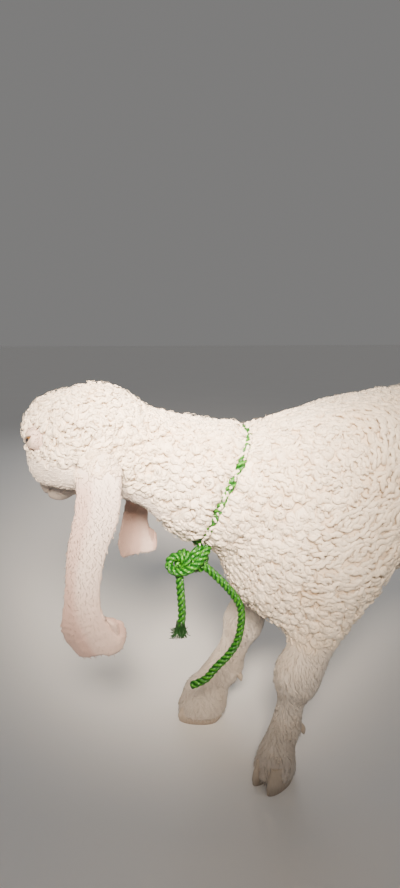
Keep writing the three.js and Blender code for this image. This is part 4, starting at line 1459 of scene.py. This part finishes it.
def waves(at):
    """Waves in rings round the shoulder: their middle, the distance from a crest, and their strength."""
    side = np.where(at[:, 1] < 0, LEFT_SIDE, RIGHT_SIDE)
    focus = np.where(side[:, None] < 0, SHOULDER_WHORL[LEFT_SIDE], SHOULDER_WHORL[RIGHT_SIDE])
    reach = np.linalg.norm(at - focus, axis=1)
    wobble = 0.3 * np.sin(at[:, 0] * 55) + 0.3 * np.sin(at[:, 2] * 60 + 1)
    turns = reach / WAVE_LENGTH + wobble
    strength = ramp(reach, 0.20, 0.16) * ramp(reach, 0.06, 0.09)
    strength = strength * ramp(at[:, 0] - focus[:, 0], -0.03, 0.03)
    return focus, (turns - np.round(turns)) * WAVE_LENGTH, strength


def coat_height(roots):
    """How far the coat's tips stand over the skin."""
    return np.maximum(coat_depth(roots.columns), mix(0.0, 4.5, roots.ear_wool) * MM) + 1.6 * MM * roots.head


def is_waved(roots):
    return waves(roots.at)[2] > roots.chance[:, 0] * 0.5 + 0.25


def fullness(roots):
    """1 in the fleece, less at its edges on face, legs and ears, where the locks are smaller."""
    edge = np.maximum(ramp(roots.face, 0.02, 0.5), 0.7 * ramp(roots.leg, 0.05, 0.6))
    return 1 - 0.55 * np.maximum(edge, roots.ear * ramp(roots.ear_wool, 1.0, 0.5))


def domes(roots, surface):
    """The soft round body of each clump, which its locks lie on."""
    out = roots.out
    across = unit(np.cross(out, SLANT))
    other = np.cross(out, across)
    height = coat_height(roots) * (0.62 + 0.14 * roots.chance[:, 0]) * fullness(roots)
    wider = mix(1.2, 1.0, ramp(roots.rope_gap, 5 * MM, BESIDE_ROPE))
    half = roots.wide * (0.82 + 0.12 * roots.chance[:, 1]) * wider
    share = np.array([0.0, 0.4, 0.72, 0.93])
    level = np.array([-0.1, 0.6, 0.88, 0.98])
    sides = 9
    angle = np.linspace(0, 2 * math.pi, sides, endpoint=False)
    two_lobes = 0.13 * np.sin(2 * angle + 6 * roots.chance[:, 2:3])
    lobes = 1 + two_lobes + 0.1 * np.sin(3 * angle + 6 * roots.chance[:, 3:])
    reach = half[:, None, None] * np.sqrt(1 - share**2)[None, :, None] * lobes[:, None]
    points = (
        roots.at[:, None, None] + (reach * np.cos(angle))[..., None] * across[:, None, None]
        + (reach * np.sin(angle))[..., None] * other[:, None, None]
        + (height[:, None] * level)[:, :, None, None] * out[:, None, None]
    )
    top = (roots.at + out * (height * 1.03)[:, None])[:, None]
    # The rings' levels also colour the dome like a lock, darker towards its foot: painted shade.
    return Locks.shaped(points, top, level)


LOCK_RADIUS = {"head": 2.1, "ear_wool": 1.8, "leg": 1.9}


def combed_paths(roots):
    """Locks laid the way the fleece is combed."""
    chance = roots.chance
    comb = flatten_to(roots.comb, roots.normal)
    staple = (10 + 6 * chance[:, 1]) * MM
    start = roots.at - comb * (0.4 * staple)[:, None]
    bend = 1.0 * (chance[:, 3] - 0.5)
    return laid_paths(start, roots.normal, comb, staple, bend, LOCK_STEPS, crimp=0.8, phase=chance[:, 2])


def waved_paths(roots, focus, off_crest):
    """Locks laid along the waves round the shoulder, and drawn together on the crests."""
    chance = roots.chance
    outward = flatten_to(roots.at - focus, roots.normal)
    sway = 0.3 * np.sin(160 * roots.at[:, 2]) + 0.6 * (chance[:, 3] - 0.5)
    heading = turned(np.cross(roots.normal, outward), roots.normal, sway)
    start = roots.at - outward * (off_crest * 0.35)[:, None]
    staple = (12 + 7 * chance[:, 1]) * MM
    bend = 1.1 * (chance[:, 3] - 0.5)
    return laid_paths(start, roots.normal, heading, staple, bend, LOCK_STEPS, crimp=0.6, phase=chance[:, 2])


def hanging_paths(roots):
    """Straighter locks, on the tail and the tops of the legs."""
    chance = roots.chance
    heading = turned(roots.lie, roots.normal, 1.2 * (chance[:, 3] - 0.5))
    staple = mix(15.0, 10.0, roots.leg) * MM
    return laid_paths(roots.at, roots.normal, heading, staple, 2.4 * (chance[:, 2] - 0.5), LOCK_STEPS)


def curl_locks(roots, surface):
    """Curled locks, wound over the small domes of their clumps, and laid in waves round the shoulder."""
    chance = roots.chance
    radius = by_region(mix(2.5, 3.2, behind_shoulder(roots.at)), LOCK_RADIUS, roots.columns)
    radius = radius * MM * (0.86 + 0.28 * chance[:, 0])
    full = fullness(roots)
    depth = coat_height(roots) * full
    radius = radius * mix(0.75, 1.0, full)
    away = np.linalg.norm(roots.at - roots.middle, axis=1)
    dome = 1 - 0.22 * np.clip(away / (0.7 * roots.wide), 0, 1.2) ** 2
    height = depth * dome * (0.95 + 0.1 * chance[:, 2]) - radius * 0.7

    focus, off_crest, _ = waves(roots.at)
    waved = is_waved(roots)
    crest = depth * (1.0 - 0.3 * (off_crest / (0.5 * WAVE_LENGTH)) ** 2 + 0.1 * chance[:, 1]) - radius * 0.75
    height = np.where(waved, crest, height)
    radius = np.where(waved, radius * 1.3, radius)
    straight = np.maximum(roots.leg, roots.tail * 0.7) > 0.35 + 0.3 * chance[:, 1]
    paths = coiled_paths(roots.at, roots.middle, roots.out, roots.spin, roots.sweep, LOCK_STEPS)
    paths = np.where(roots.combed[:, None, None], combed_paths(roots), paths)
    paths = np.where(waved[:, None, None], waved_paths(roots, focus, off_crest), paths)
    paths = np.where(straight[:, None, None], hanging_paths(roots), paths)

    places, normals = surface.under(paths)
    share = np.linspace(0, 1, LOCK_STEPS)[None]
    up = rising(share, 0.2, np.maximum(height, 1.0 * MM), LOCK_SINK)
    centre = places + normals * up[..., None]
    beside = roots.rope_gap < ROPE_COVER
    centre = np.where(beside[:, None, None], over_rope(roots, share), centre)
    radius = np.where(beside, radius * 0.85, radius)
    return Locks(centre, normals, radius, sides=5, flat=0.75)


def over_rope(roots, share):
    """Centre lines of locks that rise beside the rope and lie over it."""
    start = roots.at - roots.normal * LOCK_SINK
    back = flatten_to(roots.at - roots.rope_top, roots.rope_out)
    slant = roots.rope_along * (np.sign(roots.chance[:, 1:2] - 0.4) * (4 + 7 * roots.chance[:, 2:3]) * MM)
    end = roots.rope_top + back * mix(-2.0, 6.0, roots.rope_bare)[:, None] * MM + slant
    bulge = roots.rope_out * (1 + 2 * roots.chance[:, :1]) * MM
    bend = mix(start, end, 0.45) + bulge + roots.normal * 3.0 * MM
    t = share[..., None]
    return (1 - t) ** 2 * start[:, None] + 2 * t * (1 - t) * bend[:, None] + t**2 * end[:, None]


FIBRE_STEPS = 4
FIBRE_RADIUS = 0.28 * MM


def fuzz(roots, surface):
    """Single fibres that stand a little out of the fleece."""
    chance = roots.chance
    lean = turned(flatten_to(roots.comb, roots.normal), roots.normal, 3.0 * (chance[:, 0] - 0.5))
    length = (6 + 7 * chance[:, 1]) * MM
    paths = laid_paths(roots.at, roots.normal, lean, length, 3.0 * (chance[:, 2] - 0.5), FIBRE_STEPS)
    share = np.linspace(0, 1, FIBRE_STEPS)[None]
    top = (coat_height(roots) * fullness(roots) + (0.2 + 1.2 * chance[:, 3]) * MM)[:, None]
    up = top * (0.75 + 0.25 * np.sin(share * math.pi * 0.8))
    places, normals = surface.under(paths)
    radius = FIBRE_RADIUS * (0.7 + 0.6 * chance[:, 0])
    return Locks(places + normals * up[..., None], normals, radius, sides=3)


HAIR_STEPS = 3
BODY_HAIR_LENGTH = 9.0
HAIR_LENGTH = {"foot": 7.5, "face": 7.0, "muzzle": 2.5, "ear": 7.5}


def short_hairs(roots, surface):
    """Short tufts that lie flat."""
    chance = roots.chance
    lean = turned(roots.lie, roots.normal, 0.5 * (chance[:, 0] + chance[:, 3] - 1))
    length = by_region(np.full(len(roots), BODY_HAIR_LENGTH), HAIR_LENGTH, roots.columns)
    length = length * MM * (0.75 + 0.5 * chance[:, 1]) * (1 - 0.4 * roots.ear_tip)
    height = np.minimum(coat_depth(roots.columns) * 0.4, 0.9 * MM) * (0.5 + 0.6 * chance[:, 2])
    height = height * (1 - 0.45 * roots.ear)
    paths = laid_paths(roots.at, roots.normal, lean, length, 0.8 * (chance[:, 3] - 0.5), HAIR_STEPS)
    share = np.linspace(0, 1, HAIR_STEPS)[None]
    up = rising(share, 0.8, height, 0.5 * MM)
    normals = np.broadcast_to(roots.normal[:, None], paths.shape)
    return Locks(paths + normals * up[..., None], normals, length * 0.075, sides=3, flat=0.5)


MOST_TRIANGLES = 190000
BARE_UNDER_COAT = 0.8  # how much of the skin's pink shows through the coat over it
FIBRE_SHIFT = 60  # millimetres, so that no two locks have the same pattern of fibres


def add_coat(prefix, roots, make, surface, material, slot, rng):
    """Grows one kind of coat over its roots, in pieces of a size that can be handled, from head to tail."""
    roots = roots.take(np.argsort(roots.at[:, 0], kind="stable"))
    per_lock = len(make(roots.take(np.arange(2)), surface).triangles) // 2
    pieces = math.ceil(len(roots) * per_lock / MOST_TRIANGLES)
    for number, part in enumerate(np.array_split(np.arange(len(roots)), pieces), 1):
        chosen = roots.take(part)
        locks = make(chosen, surface)
        tone = rng.uniform(0, 1, len(chosen))
        attributes = {
            "along": locks.along,
            "tone": np.repeat(tone, locks.per_lock),
            "bare": np.repeat(bare_skin_and_shade(chosen.at, chosen.columns), locks.per_lock) * BARE_UNDER_COAT,
            "dirt_and_shade": np.repeat(dirt_and_painted_shade(chosen.at, chosen.columns), locks.per_lock),
            "fibre": (locks.fibre / MM + FIBRE_SHIFT * tone[:, None, None]).reshape(-1, 3),
        }
        uv = locks.corner_uv(np.clip(chosen.uv, 0.002, 0.998))
        piece = mesh_piece(f"{prefix}_{number}", locks.points, locks.triangles, "OFBake", uv, attributes)
        finish_piece(piece, material, slot)


def beside_rope(roots, collar):
    """Adds each root's place by the rope: its distance, directions, the rope's top, and how bare that is."""
    along, _, _ = travelling_frame(collar, closed=True)
    outward = outward_of(collar)
    reach, share = distance_to_path(roots.at, collar)
    index = np.round(share * (len(collar) - 1)).astype(int)
    out, offset = outward[index], roots.at - collar[index]
    beside = np.linalg.norm(offset - out * np.sum(offset * out, 1, keepdims=True), axis=1)
    roots.columns.update(
        rope_gap=np.where(reach < 30 * MM, beside, 1.0), rope_out=out, rope_along=along[index],
        rope_top=collar[index] + out * (ROPE_RADIUS + 2.0 * MM), rope_bare=rope_bared(share),
    )


COAT_SEED = 7


def clothe(skin, region, collar, wool, hair):
    """Grows the whole coat. The locks nearest the rope come first, and so win where room is short."""
    rng = np.random.default_rng(COAT_SEED)
    surface = Surface(skin)
    roots = sow(skin, region, rng)
    roots.columns["lie"] = lie_of_coat(roots)
    beside_rope(roots, collar)
    roots = roots.take(roots.rope_gap > ROPE_ROOM)
    roots = roots.take(np.argsort(roots.rope_gap > BESIDE_ROPE, kind="stable"))
    add_clumps(roots, rng)
    is_wool = roots.ear_wool + (1 - roots.face) * (1 - roots.ear) * (1 - ramp(roots.leg, 0.35, 0.75)) > 0.5
    fleece = roots.take(is_wool)
    clear = fleece.rope_gap > mix(ROPE_ROOM, ROPE_BARED, fleece.rope_bare)
    hearts = fleece.take((fleece.heart > 0) & clear & ~is_waved(fleece) & (fleece.ear_wool < 0.5))
    add_coat("fleece_body", hearts, domes, surface, wool, "wool", rng)
    short = roots.take(~is_wool & (roots.muzzle < 0.75) & (lid_gap(roots.at) > EYE_OPENING[0]))
    add_coat("fleece", fleece, curl_locks, surface, wool, "wool", rng)
    add_coat("hair", short, short_hairs, surface, hair, "hair", rng)
    loose = fleece.take((fleece.rope_gap > BESIDE_ROPE) & (rng.uniform(0, 1, len(fleece)) < FUZZ_SHARE))
    add_coat("fuzz", loose, fuzz, surface, wool, "wool", rng)


# ---------------------------------------------------------------- eyes, hooves and dewclaws


def add_eyes():
    for name in EYES:
        centre, axes = EYE_CENTRES[name], eye_axes(name)
        bpy.ops.mesh.primitive_uv_sphere_add(
            segments=48, ring_count=32, radius=EYE_RADIUS, location=tuple(centre)
        )
        eye = bpy.context.object
        eye.name = name + "_ball"
        settle_in_frame(eye)
        points = points_of(eye)
        outward = unit(points - centre)
        bulge = 0.9 * MM * ramp(outward @ axes[0], 0.72, 0.95)
        move_points(eye, points + outward * bulge[:, None])
        bpy.ops.object.shade_smooth()
        finish_piece(eye, eye_material(name, centre, axes), "eye", name)


CLAW_LENGTH = 58 * MM
CLAW_WIDTH = 23 * MM
CLAW_HEIGHT = 33 * MM  # its top lies under the hair


def claw_form(cube, inner, girth):
    """Maps a cube's points to a claw: a flat sole, a rounded toe towards -X and a low heel."""
    x, y, z = cube.T
    disc_x = x * np.sqrt(1 - y * y / 2)
    disc_y = y * np.sqrt(1 - x * x / 2)
    up = (z + 1) / 2
    narrowing = mix(1.0, 0.86, ramp(up, 0.35, 1.0)) * mix(0.9, 1.0, ramp(up, 0.0, 0.25))
    taper = 1 + 0.2 * disc_x - 0.12 * np.clip(-disc_x, 0, 1) ** 3
    long = disc_x * CLAW_LENGTH / 2 * girth * narrowing + 7 * MM * up
    side = np.sign(disc_y) * np.abs(disc_y) ** 0.85
    wide = side * CLAW_WIDTH / 2 * girth * narrowing * taper
    slope = CLAW_HEIGHT * (1 - 0.22 * ramp(disc_x, -0.1, 1.0))
    toe_lift = 2.2 * MM * np.clip(-disc_x - 0.7, 0, 1) * (1 - up)
    apart = inner * (CLAW_WIDTH / 2 * girth + 1.2 * MM)
    return np.stack([long - 10 * MM, wide + apart, up * slope + toe_lift], 1)


def rotation_about_z(degrees):
    c, s = math.cos(math.radians(degrees)), math.sin(math.radians(degrees))
    return np.array([[c, -s, 0], [s, c, 0], [0, 0, 1]])


def add_feet(horn):
    for foot, (middle, turn, girth, side) in FEET.items():
        for inner in (-1, 1):
            where = "outer" if inner * side > 0 else "inner"
            add_claw(f"{foot}_{where}", middle, turn, girth, inner, horn)
            add_dewclaw(f"dewclaw_{foot}_{where}", horn)


def add_claw(place_name, middle, turn, girth, inner, horn):
    bpy.ops.object.select_all(action="DESELECT")
    bpy.ops.mesh.primitive_cube_add(size=2)
    claw = bpy.context.object
    claw.name = "claw_" + place_name
    bpy.ops.object.mode_set(mode="EDIT")
    bpy.ops.mesh.subdivide(number_cuts=9)
    bpy.ops.object.mode_set(mode="OBJECT")
    shaped = claw_form(points_of(claw), inner, girth)
    move_points(claw, middle + shaped @ rotation_about_z(turn).T)
    select_only(claw)
    bpy.ops.object.shade_smooth_by_angle(angle=math.radians(50))
    finish_piece(claw, horn, "horn", "hoof_" + place_name)


def add_dewclaw(node, horn):
    low, high = (np.array(corner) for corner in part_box(node))
    middle, half = (low + high) / 2, (high - low) / 2
    bpy.ops.mesh.primitive_uv_sphere_add(segments=16, ring_count=12, radius=1, location=(0, 0, 0))
    peg = bpy.context.object
    peg.name = "horn_" + node
    x, y, z = points_of(peg).T
    slim = mix(1.0, 0.55, ramp(z, 0.3, -1.0))
    shaped = np.stack(
        [x * half[0] * 0.62 * slim - 0.35 * half[0] * z, y * half[1] * 0.8 * slim, z * half[2] * 1.05], 1
    )
    move_points(peg, middle + shaped)
    bpy.ops.object.shade_smooth()
    finish_piece(peg, horn, "horn", node)


# ---------------------------------------------------------------- floor and light


def add_floor():
    bpy.ops.object.select_all(action="DESELECT")
    bpy.ops.mesh.primitive_plane_add(size=80, location=(0, 0, 0))
    floor = bpy.context.object
    floor.name = "floor"
    floor.data.materials.append(floor_material())


def add_light(name, place_at, aim, size, power, colour=(1, 1, 1), spread=180):
    """A square lamp that shines from a place to its aim, with its beam's spread in degrees."""
    data = bpy.data.lights.new(name, "AREA")
    data.size = size
    data.energy = power
    data.color = colour
    data.spread = math.radians(spread)
    light = bpy.data.objects.new(name, data)
    bpy.context.scene.collection.objects.link(light)
    light.location = place_at
    light.visible_camera = False
    light.rotation_euler = (Vector(aim) - Vector(place_at)).to_track_quat("-Z", "Y").to_euler()


DAYLIGHT = (0.80, 0.79, 0.78, 1)
DAYLIGHT_STRENGTH = 0.26
LAMP_WARM = (1.0, 0.84, 0.67)


def add_studio():
    world = bpy.data.worlds.new("studio")
    world.use_nodes = True
    background = world.node_tree.nodes["Background"]
    background.inputs["Color"].default_value = DAYLIGHT
    background.inputs["Strength"].default_value = DAYLIGHT_STRENGTH
    bpy.context.scene.world = world
    add_light("key", (-0.42, -0.66, 0.86), (-0.24, 0, 0.50), size=0.3, power=4.9, colour=LAMP_WARM, spread=44)
    add_light("fill", (1.6, -1.2, 1.3), (0.1, 0, 0.3), size=1.4, power=1.6)
    add_light("back", (0.4, 1.9, 1.6), (0, 0, 0.3), size=1.4, power=9)


# ---------------------------------------------------------------- the lamb


def main():
    add_camera()
    rope = rope_material("green_rope", ROPE_GROOVE_SHADE, ROPE_GREEN, ROPE_CREST_HIGHLIGHT)
    fibre = rope_material("loose_fibre", ROPE_GROOVE_SHADE, FRAY_GREEN, FRAY_TIP_HIGHLIGHT)
    add_loose_ends(rope, fibre)
    add_collar(rope)
    marks_and_shade = coat_colour_group()
    skin, region = make_skin(skin_material(marks_and_shade))
    wool = coat_material("wool", marks_and_shade, CREAM_TIP, CREAM_ROOT_SHADED, 0.92)
    hair = coat_material("short_hair", marks_and_shade, HAIR_TIP, HAIR_ROOT, 0.85)
    clothe(skin, region, collar_centreline(), wool, hair)
    add_eyes()
    add_feet(horn_material())
    add_floor()
    add_studio()


main()
